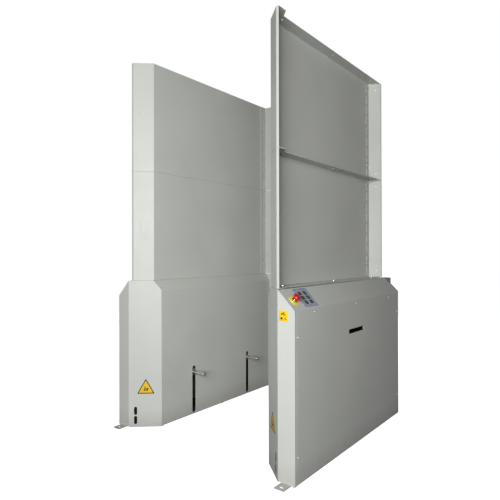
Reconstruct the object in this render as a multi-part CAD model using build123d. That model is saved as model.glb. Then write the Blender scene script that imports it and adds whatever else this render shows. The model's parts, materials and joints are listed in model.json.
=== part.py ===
from build123d import *
from math import hypot, pi, sqrt
import os

os.makedirs("parts", exist_ok=True)

# A pallet magazine: two mirrored sheet-steel cabinets with guide towers, and a channel between them
# for a stack of pallets. Millimetres, +X to the right, +Y to the rear, +Z up. The origin is on the
# floor, midway between the cabinets and midway along them. Every piece is drawn in the right
# cabinet, at +X, and mirrored for the left one.

# Cabinet
channel_width = 871.0       # between the two inner walls
cabinet_depth = 264.0       # inner wall to outer cover
cabinet_length = 1360.0     # front wall to rear end plate
bevel_across = 161.0        # front bevel, along X
bevel_along = 143.0         # front bevel, along Y
crease_height = 901.0       # where the inner wall turns into the chamfer
deck_height = 966.0         # flat top that carries the tower
tower_setback = 41.0        # tower face behind the inner wall
slope_run = 103.0           # the 45 degree slope, along X and along Z
shell_sheet = 3.0
cover_sheet = 2.0
bend = 3.0                  # inner radius of a fold
skirt_gap = 5.0             # sheet edge above the floor
foot_length = 14.0          # short stretches of sheet that reach the floor
strip_width = 17.0          # return of the front wall round the outer corner
seam = 2.0                  # visible gap between two covers
flange_width = 34.0         # returns that carry the outer cover
cover_flange_drop = 42.0    # return of the slope panel behind the outer cover

# Lift slots and lifting pins
pin_spacing = 607.0         # front pin to rear pin
pin_middle = 66.5           # midway between the pins, along Y
pin_height = 300.0          # pin axis at rest
pin_radius = 11.0
pin_reach = 108.0           # pin tip past the inner wall at rest
pin_stroke = 110.0
slot_width = 34.0
slot_foot_gap = 25.0        # slot below the pin axis at its lowest
slot_head_gap = 10.0        # slot above the nose block at its highest
lift_down = 260.0           # lift travel below rest
lift_up = 10.0              # lift travel above rest

# Towers
tower_section = 720.0       # height of one section, five pallets of 144
tower_sheet = 3.0
tower_start = 30.0          # main panel starts this far in front of the bevel's inner edge
tower_bevel_across = 99.6
tower_bevel_along = 90.0
tower_lip = 15.0
rear_bevel_across = 72.5
rear_bevel_along = 54.0
rear_lip = 8.0
tower_flange = 73.5         # flange width, from the tower's inner face
flange_tab = 67.0           # wide tab at the flange's front end, along Y
stop_slot_first = 48.0      # first slot above the section's lower edge
stop_slot_pitch = 78.0
stop_slot_count = 9
stop_slot_length = 60.0
stop_slot_width = 10.0
stop_slot_inset = 46.0      # slot column in front of the main panel's rear end
stop_reach = 66.0           # rear stop past the tower's inner face
stop_leg = 70.0
stop_sheet = 3.0
front_hole_radius = 3.5
front_hole_heights = (338.0, 384.0)
rear_hole_radius = 4.0
rear_hole_share = 0.6       # how far along the rear bevel

# Fasteners
m8 = 4.0                    # shank radius
m8_clear = 4.5              # hole radius
m8_head = 7.5               # head radius, across corners
m8_head_height = 5.3
m8_nut_height = 6.5
eye_bolt_hole = 5.5         # holes in the top flange, for M10 eye bolts or a further section
m10 = 5.0
m10_head = 9.2
m10_head_height = 6.4
screw = 4.0                 # cover screw shank radius
screw_head = 8.0
screw_head_height = 3.5
flange_bolt_in = 44.5       # flange bolts behind the tower's inner face
flange_bolt_first = 45.0    # behind the main panel's front end
flange_bolt_last = 60.0     # in front of its rear end
bolt_end = 3.0              # thread past the nut

# Floor lugs
lug_inset = 54.5            # lug's middle inside the outer cover
lug_width = 60.0
lug_thickness = 5.0
lug_reach = 65.0            # past the front wall
lug_tail = 95.0             # under the base plate
lug_hole_reach = 38.0
lug_slot_length = 26.0
lug_slot_width = 13.0
lug_bolt_first = 22.0       # from the lug's tail
lug_bolt_pitch = 36.0
lug_bolt_short = 1.0        # shank ends above the floor

# Base frame, drive beam and guide rods
base_plate = 6.0
base_gap = 1.0              # base plate to the inside of the shell
upstand_height = 25.0
upstand_clear = 56.0        # from a slot's middle to the upstand's end
post_across = 40.0
post_along = 40.0
post_wall = 3.0
post_inset = 59.5           # post's outer side inside the outer cover
post_head_gap = 22.5        # post top under the slope, at the post's outer side
post_clear = 103.0          # post face past the pin axis
beam_height = 600.0         # underside of the drive beam
beam_thickness = 8.0
beam_gap = 24.5             # beam behind the inner wall's face
beam_lip = 36.0
drive_gap = 84.5            # rods and lift screw behind the inner wall's face
rod_radius = 15.0
rod_offset = 160.0          # rod either side of the lift screw
rod_fit = 0.05              # running clearance on a radius
clamp_size = 70.0
clamp_height = 24.0
clamp_bolt = 26.0

# Lift carriage
carriage_gap = 10.5         # carriage plate behind the inner wall's face
carriage_plate = 12.0
carriage_floor_gap = 3.0    # plate above the floor plate at its lowest
carriage_above = 148.0
carriage_end = 45.0         # plate past the pin axis, along Y
guide_block = (94.0, 70.0, 150.0)
guide_block_rise = 24.0     # guide blocks above the plate's lower edge
bush_wall = 6.0
bush_length = 42.0
nut_block = (100.0, 90.0, 56.0)
nut_block_rise = 46.0
nut_radius = 25.0
nut_flange_radius = 39.0
nut_flange = 12.0
rib = (40.0, 8.0)

# Lift screw and its drive
screw_radius = 15.0
journal_radius = 12.0
journal_fit = 0.04
screw_end_gap = 2.0         # thread short of the bearings, journal above the floor plate
coupling_radius = 28.0
coupling_length = 60.0
coupling_gap = 4.0          # coupling above the drive beam
stand_height = 72.0
stand_radius = 50.0
stand_wall = 8.0
gearbox_size = (120.0, 120.0, 80.0)
motor_radius = 50.0
motor_length = 150.0
motor_fin_count = 20
motor_fin_depth = 5.0
motor_band = 12.0           # plain band below the fins
cowl_length = 30.0

# Pin units
housing_gap = 6.5           # housing behind the inner wall's face
housing_radius = 24.0
housing_end_gap = 22.0      # housing past the piston with the pin drawn in
piston_radius = 18.0
piston_length = 20.0
piston_fit = 0.05
piston_gap = 18.0           # piston behind its bush with the pin out
pin_tip = 4.0               # rounding of the tip
pin_bush_length = 40.0
pin_flange = (90.0, 52.0, 10.0)
gear_case = (24.0, 52.0, 102.0)
nose_block = (26.0, 26.0)   # width, and height above the pin axis
nose_clear = 1.0            # nose block behind the inner wall's face
nose_bore_clear = 0.5       # nose block round the pin
housing_end = 1.0           # closed end of the housing
pin_motor_radius = 21.0
pin_motor_length = 118.0
pin_motor_rise = 52.0

# Front bevel: photocells and hazard sign
photocell_along = 171.0     # from the bevel's inner edge
photocell_heights = (47.0, 107.5)
window_width = 20.0
window_height = 53.0
photocell_body = (34.0, 58.0, 44.0)
sign_along = 104.0
sign_height = 269.0
sign_side = 114.0
sign_corner = 4.0
sticker = 0.8

# Control panel, right cabinet only
estop_from_front = 59.0
estop_down = 83.0           # down the slope from its top edge
estop_plate_radius = 30.0
estop_plate = 1.5
estop_hole = 11.2
estop_collar_radius = 15.0
estop_collar_height = 8.0
estop_barrel = 30.0
estop_stem_radius = 8.0
estop_peg_radius = 5.0
estop_fit = 0.06
estop_head_radius = 20.0
estop_head = 22.0           # height of the head
estop_cap = 16.0            # of which the wide cap
estop_cap_edge = 5.0        # rounding of the cap
estop_neck_radius = 13.0
estop_peg = 18.0            # peg inside the head
estop_travel = 4.0
estop_gap = 0.5             # head above the collar when pressed
estop_stem_inset = 2.0      # stem above the barrel's end when pressed
estop_contacts = (30.0, 30.0, 42.0)
keypad_from_front = 177.0
keypad_size = (136.0, 124.0)
keypad_top = 12.0
keypad_plate = 1.2
keypad_corner = 4.0
key_corner = 2.0
ribbon_slot = (30.0, 6.0)
key_size = (26.0, 23.0)
key_columns = (-22.0, 28.0)
key_rows = (33.0, 63.0, 93.0)
key_rise = 0.5
label_size = (54.0, 53.0)
label_inset = 93.5          # label's left side inside the outer cover
label_bottom = 808.5
control_box = (126.0, 210.0, 330.0)
control_box_bottom = 440.0
control_box_wall = 2.0
control_box_gap = 5.0       # box inside the outer cover

# Rear end plate
fin_inset = 54.5            # top corner of the rear plate inside the outer cover
fin_drop = 41.0
gland_inset = 99.5          # gland inside the outer cover
gland_height = 120.0
gland_bore = 4.5
gland_thread = 10.0
gland_body = 14.0           # threaded length in front of the plate's rear face
gland_nut = 14.0
gland_flange = 7.0
gland_cap_radius = 12.0
gland_cap = 14.0
gland_locknut = 5.0

# Hand slot and screws of the outer cover
hand_slot_middle = 2.0
hand_slot_length = 194.0
hand_slot_bottom = 671.5
hand_slot_height = 26.0
front_screws_in = 29.0      # behind the front wall
rear_screws_in = 25.0       # in front of the rear end
side_screw_heights = (141.0, 731.0)
top_screws_down = 21.0      # below the foot of the slope
top_screw_places = (-491.0, 0.0, 500.0)

# Places that follow from the sizes above
inner_wall = channel_width / 2
outer_side = inner_wall + cabinet_depth
front = -cabinet_length / 2
rear = cabinet_length / 2
bevel_start = front + bevel_along
bevel_length = hypot(bevel_across, bevel_along)
tower_face = inner_wall + tower_setback
slope_top = outer_side - slope_run
slope_foot = deck_height - slope_run
slope_sum = slope_top + deck_height     # x + z on the slope
pin_places = (pin_middle - pin_spacing / 2, pin_middle + pin_spacing / 2)
rod_places = (pin_middle - rod_offset, pin_middle + rod_offset)
floor_plate_top = lug_thickness + base_plate
tower_front = bevel_start - tower_start
tower_rear = rear + stop_sheet
seam_height = deck_height + tower_section
flange_bolt_line = tower_face + flange_bolt_in
first_flange_bolt = tower_front + flange_bolt_first
last_flange_bolt = tower_rear - flange_bolt_last
flange_bolts = [first_flange_bolt, (first_flange_bolt + last_flange_bolt) / 2, last_flange_bolt]
slot_bottom = pin_height - lift_down - slot_foot_gap
slot_top = pin_height + lift_up + nose_block[1] + slot_head_gap
carriage_below = pin_height - lift_down - floor_plate_top - carriage_floor_gap
pin_body = pin_reach + housing_gap + pin_bush_length + piston_gap + piston_length
housing_length = pin_body - pin_reach - housing_gap + pin_stroke + housing_end_gap
lug_centre = outer_side - lug_inset
post_outer = outer_side - post_inset
post_top = slope_sum - post_outer - post_head_gap
beam_inner = inner_wall + beam_gap
drive_line = inner_wall + drive_gap
carriage_front = inner_wall + carriage_gap
housing_front = inner_wall + housing_gap
estop_along = front + estop_from_front
keypad_along = front + keypad_from_front
gland_line = outer_side - gland_inset
side_screws = [(y, z) for y in (front + front_screws_in, rear - rear_screws_in) for z in side_screw_heights]
cover_screw_places = side_screws + [(y, slope_foot - top_screws_down) for y in top_screw_places]


def prism(points, bottom, top):
    """A plan outline of (x, y) points, raised from bottom to top."""
    face = make_face(Polyline(*points, close=True))
    return Pos(0, 0, bottom) * extrude(face, top - bottom)


def along_y(sketch, start, end):
    """A sketch drawn as (x, z), carried along Y from start to end."""
    plane = Plane(origin=(0, end, 0), x_dir=(1, 0, 0), z_dir=(0, -1, 0))
    return extrude(plane * sketch, end - start)


def block(x, y, z):
    """A box between a low and a high value on each axis."""
    centre = [(low + high) / 2 for low, high in (x, y, z)]
    return Pos(*centre) * Box(x[1] - x[0], y[1] - y[0], z[1] - z[0])


def rod(radius, start, direction, length):
    """A cylinder from start along direction."""
    plane = Plane(origin=start, z_dir=direction)
    return plane * Cylinder(radius, length, align=(Align.CENTER, Align.CENTER, Align.MIN))


def hexagon(corner_radius, start, direction, length):
    plane = Plane(origin=start, z_dir=direction)
    return extrude(plane * RegularPolygon(corner_radius, 6), length)


def corner_rounding(sketch, corners, radius):
    """Rounds the sketch's vertices that lie on the given corners."""
    chosen = [v for v in sketch.vertices() if any(hypot(v.X - x, v.Y - y) < 0.01 for x, y in corners)]
    return fillet(chosen, radius)


def folded_strip(points, sheet):
    """The section of a folded sheet. Its face runs along points and its thickness lies to the left."""
    normals = []
    for (x0, y0), (x1, y1) in zip(points, points[1:]):
        run = hypot(x1 - x0, y1 - y0)
        normals.append(((y0 - y1) / run, (x1 - x0) / run))
    back = []
    inner, outer = [], []
    for n, (x, y) in enumerate(points):
        ax, ay = normals[max(n - 1, 0)]
        bx, by = normals[min(n, len(normals) - 1)]
        share = sheet / (1 + ax * bx + ay * by)
        behind = (x + (ax + bx) * share, y + (ay + by) * share)
        back.append(behind)
        if 0 < n < len(points) - 1:
            turns_left = ax * by - ay * bx > 0
            inner.append(behind if turns_left else (x, y))
            outer.append((x, y) if turns_left else behind)
    section = make_face(Polyline(*points, *reversed(back), close=True))
    section = corner_rounding(section, inner, bend)
    return corner_rounding(section, outer, bend + sheet)


def slope_point(down, along, proud=0.0):
    """A point on the 45 degree slope, proud of it along its normal."""
    reach = (down + proud) / sqrt(2)
    return Vector(slope_top + reach, along, deck_height + (proud - down) / sqrt(2))


def slope_plane(down, along, proud=0.0):
    """Local x runs to the rear and local z stands off the slope."""
    return Plane(origin=slope_point(down, along, proud), x_dir=(0, 1, 0), z_dir=(1, 0, 1))


def bevel_plane(along, height, proud=0.0):
    """Local x runs outwards along the front bevel and local z stands off it."""
    ux, uy = bevel_across / bevel_length, -bevel_along / bevel_length
    origin = (inner_wall + ux * along + uy * proud, bevel_start + uy * along - ux * proud, height)
    return Plane(origin=origin, x_dir=(ux, uy, 0), z_dir=(uy, -ux, 0))


def mirrored(piece):
    return mirror(piece, about=Plane.YZ)


def save(name, *pieces):
    solids = [solid for piece in pieces for solid in piece.solids()]
    export_step(Compound(solids) if len(solids) > 1 else solids[0], f"parts/{name}.step")
    print(name, len(solids))


def save_both(name, *pieces):
    """One node for each cabinet."""
    save("right_" + name, *pieces)
    save("left_" + name, *[mirrored(piece) for piece in pieces])


def save_shared(name, *pieces):
    """One node that holds the same fittings in both cabinets."""
    save(name, *pieces, *[mirrored(piece) for piece in pieces])


def cabinet_plan(inset, outer, back):
    """Plan corners of the cabinet's skin, inset by a thickness."""
    nx, ny = bevel_along / bevel_length, bevel_across / bevel_length
    wall = inner_wall + inset
    face = front + inset
    wall_end = bevel_start + (inset - nx * inset) / ny
    face_end = inner_wall + (inset - ny * (face - bevel_start)) / nx
    return [(wall, back), (wall, wall_end), (face_end, face), (outer, face), (outer, back)]


def chamfer_corners(inset):
    """Crease and deck corners of the skin's section, inset by a thickness, as (x, z)."""
    rise = deck_height - crease_height
    slant = hypot(tower_setback, rise)
    nx, nz = rise / slant, -tower_setback / slant
    crease = (inner_wall + inset, crease_height + (inset - nx * inset) / nz)
    edge = (inner_wall + (inset - nz * (rise - inset)) / nx, deck_height - inset)
    return crease, edge


def rounded_plan(inset, radius, outer, back):
    """The cabinet's plan as a tall solid, its front and bevel corners rounded."""
    corners = cabinet_plan(inset, outer, back)
    plan = corner_rounding(make_face(Polyline(*corners, close=True)), corners[1:3], radius)
    return Pos(0, 0, -deck_height / 2) * extrude(plan, 2 * deck_height)


def skin(inset, radius, section_tail, outer, back):
    """The cabinet's skin as a solid: its section along Y, cut to its plan."""
    crease, edge = chamfer_corners(inset)
    floor = section_tail[-1][1]
    section = make_face(Polyline((crease[0], floor), crease, edge, *section_tail, close=True))
    section = corner_rounding(section, [crease, edge], radius)
    return along_y(section, front - inset, back) & rounded_plan(inset, radius, outer, back)


def lift_slot(place):
    """Cutter for one lift slot, rounded at both ends."""
    height = slot_top - slot_bottom
    origin = (inner_wall - bend, place, slot_bottom + height / 2)
    plane = Plane(origin=origin, x_dir=(0, 0, 1), z_dir=(1, 0, 0))
    return extrude(plane * SlotOverall(height, slot_width), 3 * bend)


def make_inner_shell():
    """Inner wall, front bevel, front wall, chamfer and deck, folded from one sheet."""
    slope_tail = [(slope_top, deck_height), (outer_side, slope_foot), (outer_side, 0)]
    body = skin(0, bend + shell_sheet, slope_tail, outer_side, rear)
    deck_end = slope_top - shell_sheet
    open_tail = [(deck_end, deck_height - shell_sheet), (deck_end, 2 * deck_height),
                 (2 * outer_side, 2 * deck_height), (2 * outer_side, -deck_height)]
    body -= skin(shell_sheet, bend, open_tail, 2 * outer_side, 2 * rear)
    body -= block((0, outer_side), (rear - shell_sheet, 2 * rear), (-1, 2 * deck_height))
    inside = front + shell_sheet
    strip_top = slope_foot - shell_sheet
    across = (outer_side - shell_sheet, outer_side)
    body += block(across, (front + 1, front + strip_width), (skirt_gap, strip_top))
    behind = outer_side - cover_sheet
    joggle = front + strip_width - shell_sheet
    body += block((behind - shell_sheet, behind), (joggle, joggle + flange_width), (skirt_gap, strip_top))
    for place in pin_places:
        body -= lift_slot(place)
    for height in photocell_heights:
        plane = bevel_plane(photocell_along, height, bend)
        body -= extrude(plane * SlotOverall(window_height, window_width, rotation=90), -4 * bend)
    for place in flange_bolts:
        start = (flange_bolt_line, place, deck_height - 2 * shell_sheet)
        body -= rod(m8_clear, start, (0, 0, 1), 4 * shell_sheet)
    # The sheet's lower edge is raised, apart from its feet.
    half = foot_length / 2
    rear_foot = rear - shell_sheet - foot_length
    gaps = [(bevel_start + foot_length, pin_middle - half), (pin_middle + half, rear_foot - half),
            (rear_foot + half, rear)]
    for start, end in gaps:
        body -= block((inner_wall - 1, inner_wall + 3 * shell_sheet), (start, end), (-1, skirt_gap))
    across = (slope_top - foot_length, outer_side - foot_length)
    body -= block(across, (front - 1, inside + 1), (-1, skirt_gap))
    for y, z in cover_screw_places:
        if y < front + strip_width + flange_width:
            body -= rod(screw, (behind - 3 * shell_sheet, y, z), (1, 0, 0), 6 * shell_sheet)
    return body


def make_slope_panel(cutouts):
    """The 45 degree panel, tucked under the deck and behind the outer cover."""
    behind = outer_side - cover_sheet
    under = deck_height - shell_sheet
    points = [(behind, slope_foot - cover_flange_drop), (behind, slope_sum - behind),
              (slope_sum - under, under), (tower_face + tower_flange, under)]
    start = front + shell_sheet
    body = along_y(folded_strip(points, cover_sheet), start, rear - shell_sheet)
    # The front return of the shell stands where the flange would start.
    body -= block((0, behind + 1), (start, front + strip_width + flange_width), (0, slope_foot - cover_sheet))
    for y, z in cover_screw_places:
        if z > slope_foot - cover_flange_drop:
            body -= rod(screw, (behind - 3 * cover_sheet, y, z), (1, 0, 0), 6 * cover_sheet)
    for cutout in cutouts:
        body -= cutout
    return body & rounded_plan(shell_sheet, bend, 2 * outer_side, rear)


def make_outer_cover():
    """Flat outer cover with folded lower edge and hand slot."""
    behind = outer_side - cover_sheet
    start = front + strip_width + seam
    end = rear - shell_sheet - seam / 2
    body = block((behind, outer_side), (start, end), (skirt_gap, slope_foot))
    inner = front + strip_width + flange_width + seam
    fold = (skirt_gap, skirt_gap + cover_sheet)
    body += block((behind - strip_width, behind), (inner, end - flange_width), fold)
    middle = hand_slot_bottom + hand_slot_height / 2
    body -= block((behind - 1, outer_side + 1),
                  (hand_slot_middle - hand_slot_length / 2, hand_slot_middle + hand_slot_length / 2),
                  (middle - hand_slot_height / 2, middle + hand_slot_height / 2))
    for y, z in cover_screw_places:
        body -= rod(screw, (behind - 1, y, z), (1, 0, 0), 2 * cover_sheet)
    return body


def make_rear_end_plate():
    """Rear plate with its raised fin and a forward flange for the cover screws."""
    fin_foot = deck_height - fin_drop
    fin_inner = outer_side - fin_inset
    section = [(inner_wall, skirt_gap), (inner_wall, crease_height), (tower_face, deck_height),
               (fin_inner, deck_height), (fin_inner, fin_foot),
               (outer_side, fin_foot - (outer_side - fin_inner)), (outer_side, skirt_gap)]
    body = along_y(make_face(Polyline(*section, close=True)), rear - shell_sheet, rear)
    behind = outer_side - cover_sheet
    end = rear - shell_sheet
    top = slope_foot - cover_flange_drop - seam
    body += block((behind - shell_sheet, behind), (end - flange_width, end + 1), (skirt_gap, top))
    for y, z in cover_screw_places:
        if y > end - flange_width:
            body -= rod(screw, (behind - 3 * shell_sheet, y, z), (1, 0, 0), 6 * shell_sheet)
    start = (gland_line, rear - 2 * shell_sheet, gland_height)
    return body - rod(gland_thread, start, (0, 1, 0), 4 * shell_sheet)


def tower_path():
    """Plan of the tower's channel side, from the rear lip to the front lip."""
    bevel_end = (tower_face + tower_bevel_across, tower_front - tower_bevel_along)
    rear_end = (tower_face + rear_bevel_across, tower_rear + rear_bevel_along)
    return [(rear_end[0], rear_end[1] + rear_lip), rear_end, (tower_face, tower_rear),
            (tower_face, tower_front), bevel_end, (bevel_end[0] + tower_lip, bevel_end[1])]


def tower_flange_outline():
    """Plan of one flange: it follows the wall, with a wide tab at the front and a notch at the rear."""
    path = tower_path()
    edge = tower_face + tower_flange
    tab_outer = path[5][0]
    tab_end = path[5][1] + flange_tab
    step = tab_outer - edge
    notch = 5.0
    notch_rear = tower_rear + notch
    return [path[1], path[2], path[3], path[4], path[5], (tab_outer, tab_end), (edge, tab_end + step),
            (edge, notch_rear - notch), (edge - 3 * notch, notch_rear - notch),
            (edge - 3 * notch, notch_rear), (edge, notch_rear), (edge, path[1][1])]


def make_tower(bottom):
    """One tower section: folded wall, flanges at both ends, bolt holes and slots."""
    top = bottom + tower_section
    path = tower_path()
    body = Pos(0, 0, bottom) * extrude(folded_strip(path, tower_sheet), tower_section)
    outline = make_face(Polyline(*tower_flange_outline(), close=True))
    outline = corner_rounding(outline, path[2:5], bend + tower_sheet)
    body += Pos(0, 0, bottom) * extrude(outline, tower_sheet)
    body += Pos(0, 0, top - tower_sheet) * extrude(outline, tower_sheet)
    tall = (0, 0, 1)
    top_hole = eye_bolt_hole if bottom == seam_height else m8_clear
    for place in flange_bolts:
        body -= rod(m8_clear, (flange_bolt_line, place, bottom - 1), tall, 2 * tower_sheet)
        body -= rod(top_hole, (flange_bolt_line, place, top - 2 * tower_sheet), tall, 3 * tower_sheet)
    reach = 3 * tower_sheet
    bevel_middle = ((path[3][0] + path[4][0]) / 2, (path[3][1] + path[4][1]) / 2)
    outward = Vector(tower_bevel_along, tower_bevel_across, 0).normalized()
    for height in front_hole_heights:
        start = Vector(*bevel_middle, bottom + height) - outward * reach
        body -= rod(front_hole_radius, start, outward, 2 * reach)
    across, along = rear_hole_share * rear_bevel_across, rear_hole_share * rear_bevel_along
    outward = Vector(-rear_bevel_along, rear_bevel_across, 0).normalized()
    for height in (stop_slot_first, tower_section - stop_slot_first):
        start = Vector(tower_face + across, tower_rear + along, bottom + height) - outward * reach
        body -= rod(rear_hole_radius, start, outward, 2 * reach)
    for cutter in stop_slots(bottom):
        body -= cutter
    return body


def slot_heights(bottom):
    return [bottom + stop_slot_first + n * stop_slot_pitch for n in range(stop_slot_count)]


def stop_slots(bottom):
    """Cutters for the column of slots through the tower wall and the stop's leg."""
    for height in slot_heights(bottom):
        plane = Plane(origin=(tower_face - 2 * bend, tower_rear - stop_slot_inset, height),
                      x_dir=(0, 0, 1), z_dir=(1, 0, 0))
        yield extrude(plane * SlotOverall(stop_slot_length, stop_slot_width), 4 * bend)


def make_tower_stop(bottom):
    """Angle against the tower's inner face. Its free leg stops the pallets."""
    back = tower_rear
    points = [(tower_face, back - stop_leg), (tower_face, back), (tower_face - stop_reach, back)]
    body = Pos(0, 0, bottom + seam / 2) * extrude(folded_strip(points, stop_sheet), tower_section - seam)
    for cutter in stop_slots(bottom):
        body -= cutter
    return body


def make_cabinet_stop():
    """Flat stop screwed to the rear end plate, in line with the tower stops."""
    x = (tower_face - stop_reach, tower_face)
    return block(x, (rear, rear + stop_sheet), (skirt_gap, deck_height - seam / 2))


def stop_bolt_places():
    """Height of each stop bolt: near both ends of each section."""
    for bottom in (deck_height, seam_height):
        heights = slot_heights(bottom)
        yield heights[1]
        yield heights[-1]


def bolt(radius, head_radius, head_height, under_head, direction, length):
    """Hexagon head on one side of under_head and the shank on the other."""
    away = Vector(*direction)
    head = hexagon(head_radius, under_head, -away, head_height)
    return head + rod(radius, under_head, away, length)


def ring(outer, inner, start, direction, length):
    return rod(outer, start, direction, length) - rod(inner, start, direction, length)


def nut(start, direction):
    return hexagon(m8_head, start, direction, m8_nut_height) - rod(m8, start, direction, m8_nut_height)


def make_tower_bolts_and_nuts():
    """Bolts through the flanges and stop bolts, with their nuts."""
    bolts, nuts = [], []
    down = (0, 0, -1)
    for lower_face, lower_sheet in ((deck_height, shell_sheet), (seam_height, tower_sheet)):
        grip = tower_sheet + lower_sheet
        for place in flange_bolts:
            top = (flange_bolt_line, place, lower_face + tower_sheet)
            bolts.append(bolt(m8, m8_head, m8_head_height, top, down, grip + m8_nut_height + bolt_end))
            nut_top = Vector(*top) + Vector(0, 0, -grip)
            nuts.append(nut(nut_top, down))
    outward = (1, 0, 0)
    grip = stop_sheet + tower_sheet
    for height in stop_bolt_places():
        inside = (tower_face - stop_sheet, tower_rear - stop_slot_inset, height)
        bolts.append(bolt(m8, m8_head, m8_head_height, inside, outward, grip + m8_nut_height + bolt_end))
        outside = Vector(*inside) + Vector(grip, 0, 0)
        nuts.append(nut(outside, outward))
    return bolts, nuts


def make_anchor_lug(toward):
    """Floor lug with an oval hole. toward is -1 at the front and +1 at the rear."""
    end = rear + lug_reach
    half = lug_width / 2
    body = block((lug_centre - half, lug_centre + half), (rear - lug_tail, end), (0, lug_thickness))
    corners = body.edges().filter_by(Axis.Z).sort_by(Axis.Y)[-2:]
    body = fillet(corners, lug_thickness)
    place = Pos(lug_centre, rear + lug_hole_reach, -1)
    body -= extrude(place * SlotOverall(lug_slot_length, lug_slot_width), 2 * lug_thickness)
    for place in lug_bolt_places():
        body -= rod(m10, (lug_centre, place, -1), (0, 0, 1), 2 * lug_thickness)
    return body if toward > 0 else mirror(body, about=Plane.XZ)


def lug_bolt_places():
    first = rear - lug_tail + lug_bolt_first
    return [first, first + lug_bolt_pitch]


def make_lug_bolts():
    places = [side * place for side in (-1, 1) for place in lug_bolt_places()]
    length = floor_plate_top - lug_bolt_short
    return [bolt(m10, m10_head, m10_head_height, (lug_centre, place, floor_plate_top), (0, 0, -1), length)
            for place in places]


def post_places():
    """Inner and outer side of the front post and of the rear post, along Y."""
    front_face = pin_places[0] - post_clear
    rear_face = pin_places[1] + post_clear
    return [(front_face - post_along, front_face), (rear_face, rear_face + post_along)]


def make_base_frame():
    """Floor plate, upstands inside the shell's lower edge, and two posts, welded together."""
    plan = cabinet_plan(shell_sheet + base_gap, outer_side - cover_sheet - strip_width - base_gap,
                        rear - shell_sheet - base_gap)
    body = prism(plan, lug_thickness, floor_plate_top)
    inside = inner_wall + shell_sheet
    upstand_top = floor_plate_top + upstand_height
    edges = [bevel_start + foot_length] + [p + s * upstand_clear for p in pin_places for s in (-1, 1)]
    edges.append(rear - shell_sheet - base_gap)
    for start, end in zip(edges[::2], edges[1::2]):
        body += block((inside, inside + shell_sheet), (start, end), (lug_thickness, upstand_top))
        body += block((inside, inside + 2 * base_gap), (start, end), (lug_thickness, floor_plate_top))
    across = (post_outer - post_across, post_outer)
    for along in post_places():
        post = block(across, along, (floor_plate_top, post_top))
        post -= block((across[0] + post_wall, across[1] - post_wall),
                      (along[0] + post_wall, along[1] - post_wall), (0, post_top - post_wall))
        body += post
    for place in lug_bolt_places():
        for side in (-1, 1):
            body -= rod(m10, (lug_centre, side * place, 0), (0, 0, 1), 2 * floor_plate_top)
    return body


def make_drive_beam():
    """Channel between the posts. It carries the gearbox, the upper bearing and the rods' tops."""
    start, end = post_places()[0][1], post_places()[1][0]
    web = (beam_height, beam_height + beam_thickness)
    body = block((beam_inner, post_outer), (start, end), web)
    for x in (beam_inner, post_outer - beam_thickness):
        body += block((x, x + beam_thickness), (start, end), (beam_height - beam_lip, web[1]))
    for y in (start, end - beam_thickness):
        body += block((beam_inner, post_outer), (y, y + beam_thickness), (beam_height - beam_lip, web[1]))
    start = (drive_line, pin_middle, beam_height - 1)
    return body - rod(2 * journal_radius, start, (0, 0, 1), 2 * beam_thickness)


def make_flange_unit(place, bottom, bore):
    """Square block with a bore and four bolt heads, for a rod end or a screw bearing."""
    half = clamp_size / 2
    x = (drive_line - half, drive_line + half)
    body = block(x, (place - half, place + half), (bottom, bottom + clamp_height))
    body = fillet(body.edges().filter_by(Axis.Z), half / 4)
    body -= rod(bore, (drive_line, place, bottom - 1), (0, 0, 1), clamp_height + 2)
    for dx in (-clamp_bolt, clamp_bolt):
        for dy in (-clamp_bolt, clamp_bolt):
            body -= rod(m8_clear, (drive_line + dx, place + dy, bottom - 1), (0, 0, 1), clamp_height + 2)
    return body


def make_rod_clamps():
    bottoms = (floor_plate_top, beam_height - clamp_height)
    return [make_flange_unit(place, bottom, rod_radius) for place in rod_places for bottom in bottoms]


def make_screw_bearings():
    bottoms = (floor_plate_top, beam_height - clamp_height)
    return [make_flange_unit(pin_middle, bottom, journal_radius + journal_fit) for bottom in bottoms]


def make_guide_rods():
    length = beam_height - floor_plate_top
    return [rod(rod_radius, (drive_line, place, floor_plate_top), (0, 0, 1), length) for place in rod_places]


def make_lift_carriage():
    """Front plate, two guide blocks, the nut block and a stiffening rib, welded together."""
    bottom = pin_height - carriage_below
    top = pin_height + carriage_above
    back = carriage_front + carriage_plate
    along = (pin_places[0] - carriage_end, pin_places[1] + carriage_end)
    body = block((carriage_front, back), along, (bottom, top))
    low = bottom + guide_block_rise
    for place in rod_places:
        half = guide_block[1] / 2
        x = (back, back + guide_block[0])
        body += block(x, (place - half, place + half), (low, low + guide_block[2]))
        body -= rod(rod_radius + bush_wall, (drive_line, place, low - 1), (0, 0, 1), guide_block[2] + 2)
    half = nut_block[1] / 2
    seat = bottom + nut_block_rise
    x = (back, back + nut_block[0])
    body += block(x, (pin_middle - half, pin_middle + half), (seat, seat + nut_block[2]))
    body -= rod(nut_radius, (drive_line, pin_middle, seat - 1), (0, 0, 1), nut_block[2] + 2)
    body += block((back, back + rib[0]), along, (top - rib[1], top))
    for place in pin_places:
        body -= rod(housing_radius, (carriage_front - 1, place, pin_height), (1, 0, 0), carriage_plate + 2)
    return body


def make_carriage_bushes():
    low = pin_height - carriage_below + guide_block_rise
    starts = (low, low + guide_block[2] - bush_length)
    up = (0, 0, 1)
    return [ring(rod_radius + bush_wall, rod_radius + rod_fit, (drive_line, place, start), up, bush_length)
            for place in rod_places for start in starts]


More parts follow.
